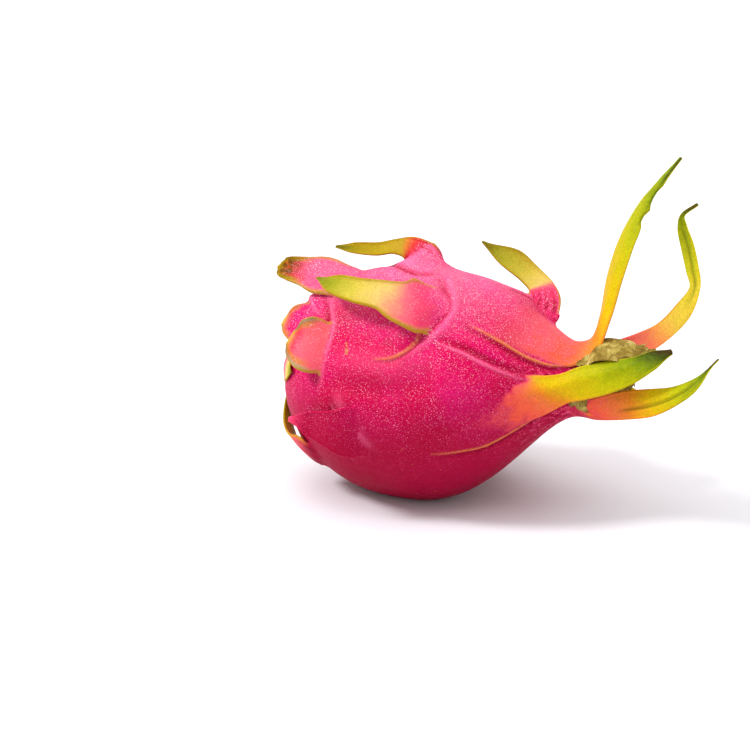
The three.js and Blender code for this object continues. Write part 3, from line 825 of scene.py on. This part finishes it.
grounded = points[:, 2] < GROUND_GUARD
weight[grounded] = 0
points = evened(points, weight, SMOOTH_ROUNDS)
points[:, 2] = np.maximum(points[:, 2], 0)
ease = np.maximum(weight, LEAST_EASE)
rim = smoothstep(np.abs(u), 1 - 0.16 * edge, 0.98) * smoothstep(t - 0.2 * crown, 0.14, 0.3)
rim = np.where(on_scale & (edge > 0), rim, 0)
blush = np.where(on_scale, blush * smoothstep(t, 0.14, 0.36), 0)
crown = evened(crown, np.ones(len(crown)), CROWN_ROUNDS)
rim, ridge, groove, margin = (evened(v, ease * 0.5, 1) for v in (rim, ridge, groove, margin))
progress, blush, olive, ash, sunlit = (
    evened(v, ease, TINT_ROUNDS) for v in (progress, blush, olive, ash, sunlit))
mesh.vertices.foreach_set("co", (points * MM).astype(np.float32).ravel())
held_in_box(mesh)
print("Seam points:", int(seam.sum()), "of", len(points))

# %% [markdown]
# What was learned about each point is kept on the mesh as attributes, which the finish reads by
# name. They move with the surface, whatever the view.

# %% Facts for the finish
def remember(mesh, name, data):
    attribute = mesh.attributes.new(name, "FLOAT", "POINT")
    attribute.data.foreach_set("value", np.asarray(data, np.float32))


facts = dict(ripeness=progress, crown=crown, rim=rim, ridge=ridge, groove=groove, margin=margin,
             share=t, across=np.abs(u), blush=blush, olive=olive, stain=stain, ash=ash,
             sunlit=sunlit)
for name, data in facts.items():
    remember(mesh, name, data)
smoothed(mesh)
fruit = body
fruit.name = "fruit_skin_and_scales"
mesh.calc_loop_triangles()
print("Fruit:", len(mesh.loop_triangles), "triangles")

# %% [markdown]
# Every finish is a tree of shader nodes. These short ways to add a node keep the finishes easy to
# read: one line per noise, mix or mask. Sizes of patterns are given in millimetres.

# %% Short ways to build a finish
def colour(r, g, b):
    """A colour as seen on a screen, 0 to 255, as the light value that Blender works with."""
    linear = [c / 255 / 12.92 if c <= 10 else ((c / 255 + 0.055) / 1.055) ** 2.4 for c in (r, g, b)]
    return (*linear, 1)


class Finish:
    """A material and short ways to add nodes to it."""

    def __init__(self, name):
        self.material = bpy.data.materials.new(name)
        self.material.use_nodes = True
        self.tree = self.material.node_tree
        self.shader = self.tree.nodes["Principled BSDF"]
        self.place = self.add("ShaderNodeTexCoord").outputs["Object"]

    def add(self, kind, **settings):
        node = self.tree.nodes.new(kind)
        for key, value in settings.items():
            setattr(node, key, value)
        return node

    def link(self, value, socket):
        if isinstance(value, bpy.types.NodeSocket):
            self.tree.links.new(value, socket)
        else:
            socket.default_value = value

    def attribute(self, name):
        return self.add("ShaderNodeAttribute", attribute_name=name).outputs["Fac"]

    def noise(self, size_mm, detail=3, distortion=0, roughness=0.5, stretch=None):
        node = self.add("ShaderNodeTexNoise")
        place = self.place
        if stretch:
            scaled = self.add("ShaderNodeVectorMath", operation="MULTIPLY")
            self.link(place, scaled.inputs[0])
            scaled.inputs[1].default_value = stretch
            place = scaled.outputs[0]
        self.link(place, node.inputs["Vector"])
        for key, value in dict(Scale=1 / (size_mm * MM), Detail=detail, Distortion=distortion,
                               Roughness=roughness).items():
            node.inputs[key].default_value = value
        return node.outputs["Fac"]

    def cells(self, size_mm, randomness=1):
        node = self.add("ShaderNodeTexVoronoi")
        self.link(self.place, node.inputs["Vector"])
        node.inputs["Scale"].default_value = 1 / (size_mm * MM)
        node.inputs["Randomness"].default_value = randomness
        return node

    def between(self, value, low, high, to_low=0.0, to_high=1.0):
        node = self.add("ShaderNodeMapRange", interpolation_type="SMOOTHSTEP")
        for key, item in zip(("Value", "From Min", "From Max", "To Min", "To Max"),
                             (value, low, high, to_low, to_high)):
            self.link(item, node.inputs[key])
        return node.outputs["Result"]

    def math(self, operation, a, b=0.0):
        node = self.add("ShaderNodeMath", operation=operation)
        self.link(a, node.inputs[0])
        self.link(b, node.inputs[1])
        return node.outputs[0]

    def times(self, a, b):
        return self.math("MULTIPLY", a, b)

    def mix(self, factor, a, b, blend="MIX"):
        node = self.add("ShaderNodeMix", data_type="RGBA", blend_type=blend)
        self.link(factor, node.inputs["Factor"])
        self.link(a, node.inputs[6])
        self.link(b, node.inputs[7])
        return node.outputs[2]

    def ramp(self, value, stops):
        node = self.add("ShaderNodeValToRGB")
        marks = node.color_ramp.elements
        while len(marks) < len(stops):
            marks.new(0.5)
        for mark, (position, tint) in zip(marks, stops):
            mark.position = position
            mark.color = tint
        self.link(value, node.inputs[0])
        return node.outputs[0]

    def bump(self, height, distance_mm, strength=1.0, under=None):
        node = self.add("ShaderNodeBump")
        self.link(height, node.inputs["Height"])
        node.inputs["Distance"].default_value = distance_mm * MM
        node.inputs["Strength"].default_value = strength
        if under is not None:
            self.link(under, node.inputs["Normal"])
        return node.outputs["Normal"]

    def wear(self, **sockets):
        """Sets the shader's own sockets, by names whose spaces are written as underscores."""
        for key, value in sockets.items():
            self.link(value, self.shader.inputs[key.replace("_", " ")])
        return self.material

    def dress(self, thing):
        thing.data.materials.clear()
        thing.data.materials.append(self.material)


print("Pink on a screen and as light:", (208, 0, 78), [round(c, 3) for c in colour(208, 0, 78)])

# %% [markdown]
# The colours were matched to the photograph, as they look on a screen. The skin has five
# pinks, the scales go through cream or orange to green, and old tissue is brown or ashy.

# %% Colours of the fruit
ROSE = colour(222, 12, 108)
PINK = colour(208, 0, 78)
CRIMSON = colour(158, 0, 44)
DEEP = colour(134, 0, 36)
PALE_PINK_AND_HIGHLIGHT = colour(240, 112, 156)
PALE_DOT = colour(240, 128, 160)
WHITE_DOT = colour(252, 186, 202)
SALMON = colour(238, 104, 104)
CORAL = colour(234, 84, 62)
ORANGE = colour(228, 134, 34)
YELLOW = colour(208, 174, 10)
CREAM = colour(220, 184, 104)
LIME = colour(172, 170, 6)
GREEN = colour(110, 130, 4)
DARK_GREEN = colour(60, 74, 8)
DRY_BROWN = colour(58, 46, 14)
MUSTARD = colour(166, 136, 10)
STAIN = colour(104, 62, 6)
ASH = colour(150, 140, 112)
EDGE_GOLD = colour(232, 150, 70)
SUNLIT_GAIN = (1.5, 1.6, 1.7, 1)

print("Gain of a blade with light behind it:", SUNLIT_GAIN[:3])

# %% [markdown]
# The skin is a saturated pink that drifts between crimson and rose, with thousands of tiny pale
# dots. Shade and light are painted into it by height: painted shade makes it deep crimson
# underneath, a painted highlight makes it pale on top. Painted shade darkens the grooves and a
# painted highlight lightens the ridges. The neck is streaked lengthwise. All of it comes from
# noise, height and the attributes.

# %% Pink of the skin
f = Finish("satin_dragon_fruit_skin")
ripe, crowned, rim_f, ridge_f, groove_f, margin_f, blush_f, olive_f, stain_f, share_f, across_f = (
    f.attribute(name) for name in ("ripeness", "crown", "rim", "ridge", "groove", "margin", "blush",
                                   "olive", "stain", "share", "across"))
broad, middle, grain, fine = f.noise(26, 2), f.noise(6, 4, 0.6), f.noise(1.4, 2), f.noise(0.6, 2)
streaks = f.noise(1.3, 3, 0.4, stretch=(0.12, 1, 1))

# Painted shade makes it deep crimson underneath, and a painted highlight pale pink on top
pink = f.mix(f.between(broad, 0.35, 0.65), PINK, ROSE)
place_axes = f.add("ShaderNodeSeparateXYZ")
f.link(f.place, place_axes.inputs[0])
height = f.math("ADD", place_axes.outputs["Z"], f.times(middle, 16 * MM))
pink = f.mix(f.between(height, 40 * MM, 84 * MM, 0.9, 0.0), pink, CRIMSON)
pink = f.mix(f.between(height, 6 * MM, 46 * MM, 0.7, 0.0), pink, DEEP)
# The pale pink on top is a painted highlight; the same colour makes the real pale streaks on the neck
pink = f.mix(f.between(height, 84 * MM, 114 * MM, 0.0, 0.66), pink, PALE_PINK_AND_HIGHLIGHT)
pink = f.mix(f.between(middle, 0.52, 0.72, 0, 0.35), pink, CRIMSON)
pink = f.mix(f.between(fine, 0.4, 0.66, 0, 0.3), pink, DEEP)

# Thousands of tiny pale dots, with painted shade and highlight by height: fewer and rosier low down,
# denser and whiter on top
dots = f.cells(0.82)
dot_size = f.between(f.noise(7, 2), 0.35, 0.7, 0.12, 0.2)
dot_mask = f.between(f.math("SUBTRACT", dots.outputs["Distance"], dot_size), 0.0, 0.1, 1.0, 0.0)
dot_mask = f.times(dot_mask, f.between(grain, 0.3, 0.6, 0.6, 1.0))
dot_mask = f.times(dot_mask, f.between(height, 20 * MM, 84 * MM, 0.3, 0.9))
fine_dots = f.between(f.cells(0.5).outputs["Distance"], 0.18, 0.32, 0.45, 0.0)
fine_dots = f.times(fine_dots, f.between(height, 20 * MM, 84 * MM, 0.3, 1.0))
dot_tint = f.mix(f.between(height, 20 * MM, 66 * MM), ROSE, PALE_DOT)
dot_tint = f.mix(f.between(height, 66 * MM, 104 * MM), dot_tint, WHITE_DOT)
pink = f.mix(f.math("MAXIMUM", dot_mask, fine_dots), pink, dot_tint)

# The neck is streaked lengthwise
at_neck = f.between(place_axes.outputs["X"], 46 * MM, 70 * MM)
pink = f.mix(f.times(at_neck, f.between(streaks, 0.5, 0.6, 0, 0.6)), pink, DEEP)
pink = f.mix(f.times(at_neck, f.between(streaks, 0.34, 0.46, 0.4, 0)), pink, PALE_PINK_AND_HIGHLIGHT)

pink = f.mix(f.times(blush_f, 0.72), pink, SALMON)
# Painted shade in the grooves, a deeper crimson lower down
groove_shade = f.mix(f.between(height, 50 * MM, 90 * MM), DEEP, CRIMSON)
pink = f.mix(f.times(groove_f, 0.85), pink, groove_shade)
# Painted highlight: the ridges are paler pink
pink = f.mix(f.times(ridge_f, 0.62), pink, PALE_PINK_AND_HIGHLIGHT)
pink = f.mix(f.times(margin_f, 0.85), pink, EDGE_GOLD)
print("Nodes for the pink:", len(f.tree.nodes))

# %% [markdown]
# Scales ripen from pink to green in three ways: a body scale through cream, a crown bract through
# coral and orange, and an olive blade early. Body scales have a mustard margin, some with an ashy
# inner line; crown bracts are edged in orange and lime. A few scales bear a brown stain. Painted
# shade darkens the creases of the blades, and painted backlight brightens one thin bract.

# %% Colours of the scales
patchy = f.math("ADD", ripe, f.times(f.math("SUBTRACT", middle, 0.5), 0.14))
patchy = f.math("ADD", patchy, f.times(f.math("SUBTRACT", streaks, 0.5), 0.06))
body_scale = f.ramp(patchy, [(0.0, PINK), (0.1, colour(230, 60, 104)), (0.26, colour(236, 96, 118)),
                             (0.46, CREAM), (0.66, colour(192, 176, 60)), (0.85, colour(140, 142, 20)),
                             (1.0, colour(96, 98, 12))])
crown_scale = f.ramp(patchy, [(0.0, SALMON), (0.1, CORAL), (0.22, colour(234, 110, 62)), (0.36, ORANGE),
                              (0.52, YELLOW), (0.7, LIME), (0.86, GREEN), (0.95, DARK_GREEN),
                              (1.0, DRY_BROWN)])
olive_blade = f.ramp(patchy, [(0.0, PINK), (0.14, colour(226, 60, 40)), (0.3, colour(214, 110, 20)),
                              (0.5, colour(176, 140, 6)), (0.8, colour(158, 132, 6)),
                              (1.0, colour(104, 110, 10))])
blade = f.mix(crowned, body_scale, crown_scale)
blade = f.mix(olive_f, blade, olive_blade)
skin_colour = f.mix(f.between(patchy, 0.02, 0.14), pink, blade)

# Margins
band = f.times(f.between(across_f, 0.5, 0.72), f.between(share_f, 0.44, 0.62))
skin_colour = f.mix(f.times(band, olive_f), skin_colour, MUSTARD)
ash_line = f.times(f.between(across_f, 0.78, 0.88), f.between(share_f, 0.4, 0.6))
skin_colour = f.mix(f.times(ash_line, f.attribute("ash")), skin_colour, ASH)
rim_tint = f.mix(crowned, MUSTARD, f.mix(f.between(ripe, 0.4, 0.8), ORANGE, LIME))
skin_colour = f.mix(f.times(rim_f, 0.9), skin_colour, rim_tint)
on_blade = f.between(ripe, 0.0, 0.3)
blade_grain = f.between(f.noise(0.8, 3), 0.35, 0.7, 0.86, 1.06)
skin_colour = f.mix(on_blade, skin_colour, f.mix(1.0, skin_colour, blade_grain, "MULTIPLY"))
# Painted shade in the creases and wrinkle troughs of the blades
skin_colour = f.mix(f.times(f.times(groove_f, on_blade), 0.6), skin_colour,
                    DARK_GREEN)
stain_f = f.times(stain_f, f.between(f.noise(2.2, 3), 0.3, 0.6, 0.45, 1.1))
skin_colour = f.mix(stain_f, skin_colour, STAIN)
# Painted backlight: the colour of a thin bract is brightened by a gain
skin_colour = f.mix(f.attribute("sunlit"), skin_colour,
                    f.mix(1.0, skin_colour, SUNLIT_GAIN, "MULTIPLY"))
# The dots go on over the pink base of the scales, with the same painted shade and highlight by height
dots_on_scale = f.times(f.between(ripe, 0.05, 0.4, 0.9, 0.0), dot_mask)
skin_colour = f.mix(dots_on_scale, skin_colour, dot_tint)
print("Nodes with the scales:", len(f.tree.nodes))

# %% [markdown]
# The surface is satin, with the fine unevenness of an orange peel and larger, flatter dimples.
# A little light goes through the flesh. The fruit then stands in for its block in the CAD model.

# %% Surface of the fruit
orange_peel = f.bump(f.noise(1.1, 3), 0.12, 0.6)
dimpled = f.bump(f.noise(4.5, 3), 0.5, 0.5, orange_peel)
dotted = f.bump(dot_mask, 0.05, 0.5, dimpled)
roughness = f.between(grain, 0.2, 0.8, 0.42, 0.62)
f.wear(Base_Color=skin_colour, Roughness=roughness, Normal=dotted, Specular_IOR_Level=0.05,
       Subsurface_Weight=0.18, Subsurface_Radius=(1.0, 0.3, 0.2), Subsurface_Scale=2 * MM)
f.dress(fruit)
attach(fruit, "root")
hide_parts("dragon_fruit")
print("Skin finish:", len(f.tree.nodes), "nodes")

# %% [markdown]
# The flower that the fruit grew from withers and stays in the crown. Its petals are thin, papery
# and crumpled. They are made like the scales, only thinner, with more wave and torn ends.

# %% Dried flower
# Around, length past the rim, half width, distance from the axis there
PETALS = [(-40, 20, 6.4, 18.4), (-14, 18, 7, 18.8), (8, 11, 6, 18.4), (36, 6, 5.6, 15),
          (84, 5, 4.4, 10), (128, 4, 4.4, 9.4), (168, 5, 4.4, 9.4), (214, 8, 4.4, 9.6),
          (262, 12, 4.8, 11)]
FLOWER_RADIUS = 7.8
FLOWER_GAP = 0.4
PETAL_THICKNESS = (1.5, 0.8, 0.5)
PETAL_WAVE = 0.7
PETAL_NET = (34, 28)
PETAL_SINK = 0.8
CRUMPLE = dict(rim=0, wrinkles=[(0.16, 5, 0.1, 1.2)],
               tears=[(1, 0.75, 0.86, 0.5), (-1, 0.8, 0.95, 0.5)])
FLOWER_BASE = CROWN_END - BOWL_DEPTH + FLOWER_GAP
CUP_SIDES = 64
# Height over the base and radius of the cup's rings, and the height of its floor
CUP_RINGS = [(0, FLOWER_RADIUS), (3, FLOWER_RADIUS), (5, 6)]
CUP_FLOOR = 4


def from_axis(rows):
    """Stations told by their distance from the middle, made into heights over the skin."""
    return [(along, around, radius - NECK_RADIUS, half, bend, roll)
            for along, around, radius, half, bend, roll in rows]


def petal(around, length, half, reach):
    return from_axis([
        (FLOWER_BASE + PETAL_SINK, around, FLOWER_RADIUS, half, 30, 0),
        (CROWN_END, around + 2, FLOWER_RADIUS + 1, half, 34, 4),
        (CROWN_END + 0.5 * length, around + 5, 0.8 * reach, 0.95 * half, 30, 8),
        (CROWN_END + 0.8 * length, around + 3, 0.95 * reach, 0.8 * half, 16, 10),
        (CROWN_END + length, around + 6, reach, 0.4 * half, 6, 10)])


BROAD_SHEET = from_axis([
    (78.9, 24, 8, 4.5, 24, 0), (81.6, 24, 11, 6.8, 18, 0), (82, 22, 15.4, 8.4, 16, 0),
    (85, 18, 18.8, 9.2, 16, 0), (92, 15, 19.8, 9.2, 16, 2), (99, 12, 19, 8.6, 16, 4),
    (104.6, 10, 17, 6, 16, 8)])
LAPPING_SHEET = from_axis([
    (78.9, 36, 8, 3, 30, 0), (83, 36, 9.4, 3.6, 30, 0), (86.2, 36, 12, 4, 24, 0),
    (86.4, 37, 14.6, 4, 16, 0), (84, 38, 16.4, 3.6, -10, 0), (80.5, 39, 16.6, 3, -16, 0),
    (78, 40, 15.6, 1.6, -10, 0)])
LOW_SCRAP = from_axis([
    (78.9, 112, 8, 3, 30, 0), (82.4, 112, 9, 4, 24, 0), (84, 110, 11.6, 4.6, 10, 0),
    (82.4, 108, 13.6, 4.6, -6, 0), (79, 106, 14, 3.6, -10, 0), (76.4, 104, 13.4, 1.6, 0, 0)])

petals = bpy.data.collections.new("petals")
for stations in (*(petal(*row) for row in PETALS), BROAD_SHEET, LAPPING_SHEET, LOW_SCRAP):
    points, *_ = scale_points(stations, *PETAL_NET, CRUMPLE, *PETAL_THICKNESS, PETAL_WAVE)
    facing_out(mesh_from("petal", points, ringed_faces(*PETAL_NET), petals))
turn = np.arange(CUP_SIDES) * 360 / CUP_SIDES
cup = np.concatenate([
    place(FLOWER_BASE, 0, 0)[None],
    *(place(FLOWER_BASE + rise, turn, np.full(CUP_SIDES, float(radius)))
      for rise, radius in CUP_RINGS),
    place(FLOWER_BASE + CUP_FLOOR, 0, 0)[None]])
flower = facing_out(mesh_from("withered_flower", cup, ringed_faces(len(CUP_RINGS), CUP_SIDES)))
fused(flower, "UNION", operand_type="COLLECTION", collection=petals)
drop(petals)
smoothed(flower.data)
print("Flower:", len(flower.data.polygons), "faces")

# %% [markdown]
# Dead petals are tan, with darker mould flecks and fine fibres. Two noises of different sizes give
# the blotches and the fibres, and the fibres also roughen the surface a little.

# %% Finish of the dried flower
f = Finish("papery_dried_petal")
fibres = f.noise(1.2, 4, 1.5)
blotch = f.noise(5, 3, 0.8)
tan = f.ramp(blotch, [(0.2, colour(82, 62, 14)), (0.45, colour(130, 106, 34)),
                      (0.62, colour(172, 150, 74)), (0.8, colour(222, 202, 140))])
mould = f.between(f.noise(1.5, 3, 2.0), 0.57, 0.67, 0.0, 0.85)
tan = f.mix(mould, tan, colour(70, 50, 18))
f.wear(Base_Color=tan, Roughness=f.between(fibres, 0.2, 0.8, 0.7, 0.95),
       Normal=f.bump(fibres, 0.3, 0.8), Specular_IOR_Level=0.2)
f.dress(flower)
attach(flower, "root")
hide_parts("dried_flower")
print("Petal finish:", len(f.tree.nodes), "nodes")

# %% [markdown]
# Small corky flecks sit on the skin where wind and insects have scratched it. They repeat all over
# it, so Geometry Nodes scatter them: points on the faces of the skin, away from the scales, and a
# flattened grain on each point, turned with the skin. The same tree, fed with one small patch of
# skin and a much higher density, makes the healed scar on the front.

# %% Tree that scatters flecks
# A scale's points have a share along it above this one
LEAST_SHARE = 0.001
GRAIN_SHAPE = (1.0, 0.6, 0.3)
# Least and most turn, and least and most size
FLECK_TURNS = ((0, 0, 0), (0, 0, math.tau))
FLECK_SIZES = ((0.4, 0.4, 0.5), (1.3, 1.0, 1.0))


def new_tree(name, inputs):
    tree = bpy.data.node_groups.new(name, "GeometryNodeTree")
    tree.interface.new_socket("Geometry", in_out="INPUT", socket_type="NodeSocketGeometry")
    for label, kind in inputs:
        tree.interface.new_socket(label, in_out="INPUT", socket_type="NodeSocket" + kind)
    tree.interface.new_socket("Geometry", in_out="OUTPUT", socket_type="NodeSocketGeometry")
    return tree, tree.nodes.new("NodeGroupInput"), tree.nodes.new("NodeGroupOutput")


def node(tree, kind, links=None, sockets=None, **settings):
    """Adds a node. Links name sockets or nodes that feed its inputs; sockets set plain values."""
    made = tree.nodes.new(kind)
    for key, value in settings.items():
        setattr(made, key, value)
    for key, value in (sockets or {}).items():
        made.inputs[key].default_value = value
    for key, source in (links or {}).items():
        first = source if isinstance(source, bpy.types.NodeSocket) else source.outputs[0]
        tree.links.new(first, made.inputs[key])
    return made


def strewn(tree, given, result, scatter, shape, turns, sizes):
    """Ends a tree: a shape on every point, turned and sized by chance, in the material given."""
    turn = node(tree, "FunctionNodeRandomValue", data_type="FLOAT_VECTOR",
                sockets={"Min": turns[0], "Max": turns[1]})
    turned = node(tree, "FunctionNodeRotateEuler", {
        "Rotation": scatter.outputs["Rotation"], "Rotate By": turn}, space="LOCAL")
    size = node(tree, "FunctionNodeRandomValue", data_type="FLOAT_VECTOR",
                sockets={"Min": sizes[0], "Max": sizes[1]})
    placed = node(tree, "GeometryNodeInstanceOnPoints", {
        "Points": scatter, "Instance": shape, "Rotation": turned, "Scale": size})
    real = node(tree, "GeometryNodeRealizeInstances", {"Geometry": placed})
    dressed = node(tree, "GeometryNodeSetMaterial", {
        "Geometry": real, "Material": given.outputs["Material"]})
    tree.links.new(dressed.outputs[0], result.inputs[0])


def fleck_tree():
    tree, given, result = new_tree("scattered_flecks", [
        ("Density", "Float"), ("Seed", "Int"), ("Fleck Length", "Float"), ("Material", "Material")])
    share = node(tree, "GeometryNodeInputNamedAttribute", sockets={"Name": "share"},
                 data_type="FLOAT")
    on_skin = node(tree, "FunctionNodeCompare", {"A": share}, {"B": LEAST_SHARE},
                   data_type="FLOAT", operation="LESS_THAN")
    scatter = node(tree, "GeometryNodeDistributePointsOnFaces", {
        "Mesh": given, "Selection": on_skin, "Density": given.outputs["Density"],
        "Seed": given.outputs["Seed"]}, distribute_method="RANDOM")
    grain = node(tree, "GeometryNodeMeshIcoSphere", sockets={"Subdivisions": 2},
                 links={"Radius": given.outputs["Fleck Length"]})
    flatten = node(tree, "GeometryNodeTransform", {"Geometry": grain}, {"Scale": GRAIN_SHAPE})
    strewn(tree, given, result, scatter, flatten, FLECK_TURNS, FLECK_SIZES)
    return tree


def grown(thing, tree, values):
    """Runs a tree on an object and keeps the result as its plain mesh."""
    modifier = thing.modifiers.new(tree.name, "NODES")
    modifier.node_group = tree
    for item in tree.interface.items_tree:
        if item.in_out == "INPUT" and item.name in values:
            modifier[item.identifier] = values[item.name]
    smoothed(kept_result(thing, modifier).data)
    return thing


def patch_of(thing, name, middle, reach_mm):
    """A small piece of a mesh's surface: the faces within reach of a place on it."""
    source = thing.data
    spots = np.array([v.co[:] for v in source.vertices]) / MM
    near = np.linalg.norm(spots - middle, axis=1) < reach_mm
    faces = [p.vertices[:] for p in source.polygons if all(near[v] for v in p.vertices)]
    used = sorted({v for face in faces for v in face})
    renamed = {v: i for i, v in enumerate(used)}
    return mesh_from(name, spots[used], [[renamed[v] for v in face] for face in faces])


flecks_tree = fleck_tree()
print("Nodes in the fleck tree:", len(flecks_tree.nodes))

# %% [markdown]
# The flecks are light brown cork. Three patches of skin near the middle of the front become one
# healed scar. The seed keeps every fleck in its place from run to run.

# %% Flecks and scars
FLECKS_PER_CM2 = 0.42
FLECK_LENGTH = 0.26
# Along and around, and reach in mm
SCAR_PLACES = [(-12.0, 57.4, 0.5), (-11.2, 59.2, 0.35), (-10.8, 61.4, 0.8)]
SCAR_MARGIN = 0.6
SCAR_PER_MM2 = 7
SCAR_GRAIN = 0.3
PER_CM2 = 1e4
PER_MM2 = 1e6
# Faces of one grain
FLECK_FACES = 80

f = Finish("corky_tissue")
cork_drift = f.noise(0.7, 3)
cork_colour = f.ramp(cork_drift, [(0.3, colour(176, 112, 40)), (0.6, colour(222, 166, 78))])
cork = f.wear(Base_Color=cork_colour, Roughness=0.85, Normal=f.bump(cork_drift, 0.08, 0.6))

flecks = bpy.data.objects.new("corky_flecks", fruit.data.copy())
bpy.context.scene.collection.objects.link(flecks)
grown(flecks, flecks_tree, {"Density": FLECKS_PER_CM2 * PER_CM2, "Seed": SEED,
                            "Fleck Length": FLECK_LENGTH * MM, "Material": cork})
scars = []
for number, (along, around, reach) in enumerate(SCAR_PLACES):
    middle = place(along, around, body_radius(along) + relief(np.array(along), np.array(around)))
    scar = patch_of(fruit, f"scar_{number}", middle, reach + SCAR_MARGIN)
    scars.append(grown(scar, flecks_tree, {
        "Density": SCAR_PER_MM2 * PER_MM2, "Seed": SEED + number,
        "Fleck Length": SCAR_GRAIN * MM, "Material": cork}))
for cork_piece in (flecks, *scars):
    held_in_box(cork_piece.data)
print("Flecks:", len(flecks.data.polygons) // FLECK_FACES, "and in the scars:",
      [len(scar.data.polygons) // FLECK_FACES for scar in scars])

# %% [markdown]
# Dried threads of the flower's stamens are left inside the petals. One thin, bent, tapered thread
# is a curve with a round section; Geometry Nodes repeat it over the floor of the bowl.

# %% Dried threads
THREADS_PER_CM2 = 75
THREAD_LENGTH = 12
THREAD_RADIUS = 0.28
THREAD_END = 0.45
THREAD_TURNS = ((-0.35, -0.35, 0), (0.35, 0.35, math.tau))
THREAD_SIZES = ((0.8, 0.8, 0.55), (1.2, 1.2, 1.1))
ROOTS_RADIUS = 4.6
ROOTS_HEIGHT = FLOWER_BASE + 3.6
ROOTS_SIDES = 24


def thread_tree():
    tree, given, result = new_tree("dried_threads", [
        ("Density", "Float"), ("Seed", "Int"), ("Thread Length", "Float"),
        ("Thread Radius", "Float"), ("Material", "Material")])
    scatter = node(tree, "GeometryNodeDistributePointsOnFaces", {
        "Mesh": given, "Density": given.outputs["Density"],
        "Seed": given.outputs["Seed"]}, distribute_method="RANDOM")
    bent = node(tree, "GeometryNodeCurveQuadraticBezier", sockets={
        "Resolution": 9, "Start": (0, 0, 0), "Middle": (0.1, 0, 0.5), "End": (0.42, 0.1, 1)})
    long = node(tree, "ShaderNodeCombineXYZ")
    for axis in ("X", "Y", "Z"):
        tree.links.new(given.outputs["Thread Length"], long.inputs[axis])
    sized = node(tree, "GeometryNodeTransform", {"Geometry": bent, "Scale": long})
    length_share = node(tree, "GeometryNodeSplineParameter")
    taper = node(tree, "ShaderNodeMapRange", {"Value": length_share},
                 {"To Min": 1.0, "To Max": THREAD_END})
    tapered = node(tree, "GeometryNodeSetCurveRadius", {"Curve": sized, "Radius": taper})
    section = node(tree, "GeometryNodeCurvePrimitiveCircle", sockets={"Resolution": 6},
                   links={"Radius": given.outputs["Thread Radius"]})
    thread = node(tree, "GeometryNodeCurveToMesh", {
        "Curve": tapered, "Profile Curve": section, "Scale": taper}, {"Fill Caps": True})
    strewn(tree, given, result, scatter, thread, THREAD_TURNS, THREAD_SIZES)
    return tree


root_turn = np.arange(ROOTS_SIDES) * 360 / ROOTS_SIDES
root_ring = place(ROOTS_HEIGHT, root_turn, np.full(ROOTS_SIDES, ROOTS_RADIUS))
roots = mesh_from("dried_threads", np.concatenate([place(ROOTS_HEIGHT, 0, 0)[None], root_ring]),
                  [(0, 1 + i, 1 + (i + 1) % ROOTS_SIDES) for i in range(ROOTS_SIDES)])
if roots.data.polygons[0].normal.x < 0:
    roots.data.flip_normals()
f = Finish("dried_thread")
thread_drift = f.noise(2, 3)
thread_colour = f.ramp(thread_drift, [(0.3, colour(84, 58, 22)), (0.7, colour(172, 144, 82))])
dry_thread = f.wear(Base_Color=thread_colour, Roughness=0.9, Normal=f.bump(thread_drift, 0.05, 0.5))
threads = grown(roots, thread_tree(), {
    "Density": THREADS_PER_CM2 * PER_CM2, "Seed": SEED, "Thread Length": THREAD_LENGTH * MM,
    "Thread Radius": THREAD_RADIUS * MM, "Material": dry_thread})
print("Threads:", len(threads.data.polygons), "faces")
for piece in (flecks, *scars, threads):
    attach(piece, "root")

# %% [markdown]
# Plain stage: a white floor that runs out of view and a white studio around it. A key light from
# the upper left gives the soft shadow on the right, and a wide light overhead fills it.

# %% Stage and light
FLOOR_REACH = 9000
FLOOR_LEVEL = -0.1
STUDIO_STRENGTH = 0.72
# Azimuth from the camera's side, height above the table and spread in degrees, and strength
KEY_LIGHT = (-85, 45, 14, 2.3)
OVERHEAD_LIGHT = (0, 88, 70, 1.6)

floor_corners = [(-1, -1), (1, -1), (1, 1), (-1, 1)]
floor = mesh_from("floor", [(FLOOR_REACH * x, FLOOR_REACH * y, FLOOR_LEVEL)
                            for x, y in floor_corners], [(0, 1, 2, 3)])
f = Finish("white_table")
table_white = f.mix(f.noise(400, 2), colour(230, 230, 234), colour(226, 226, 232))
f.wear(Base_Color=table_white, Roughness=0.9, Specular_IOR_Level=0.0)
f.dress(floor)

world = bpy.data.worlds.new("white_studio")
world.use_nodes = True
sky = world.node_tree.nodes["Background"]
sky.inputs["Color"].default_value = (1, 1, 1, 1)
sky.inputs["Strength"].default_value = STUDIO_STRENGTH
bpy.context.scene.world = world


def soft_light(name, azimuth, elevation, spread, strength):
    """A lamp as far as the sun; its spread softens the shadows. Positive azimuth is to the right."""
    data = bpy.data.lights.new(name, "SUN")
    data.angle = math.radians(spread)
    data.energy = strength
    light = bpy.data.objects.new(name, data)
    turn = CAMERA_TURN + math.radians(azimuth)
    lift = math.radians(elevation)
    toward = Vector((math.sin(turn) * math.cos(lift), -math.cos(turn) * math.cos(lift),
                     math.sin(lift)))
    light.location = toward * 2
    light.rotation_mode = "QUATERNION"
    light.rotation_quaternion = toward.to_track_quat("Z", "Y")
    bpy.context.scene.collection.objects.link(light)


soft_light("key", *KEY_LIGHT)
soft_light("overhead", *OVERHEAD_LIGHT)
scene = bpy.context.scene
scene.view_settings.view_transform = "Standard"
scene.view_settings.look = "None"
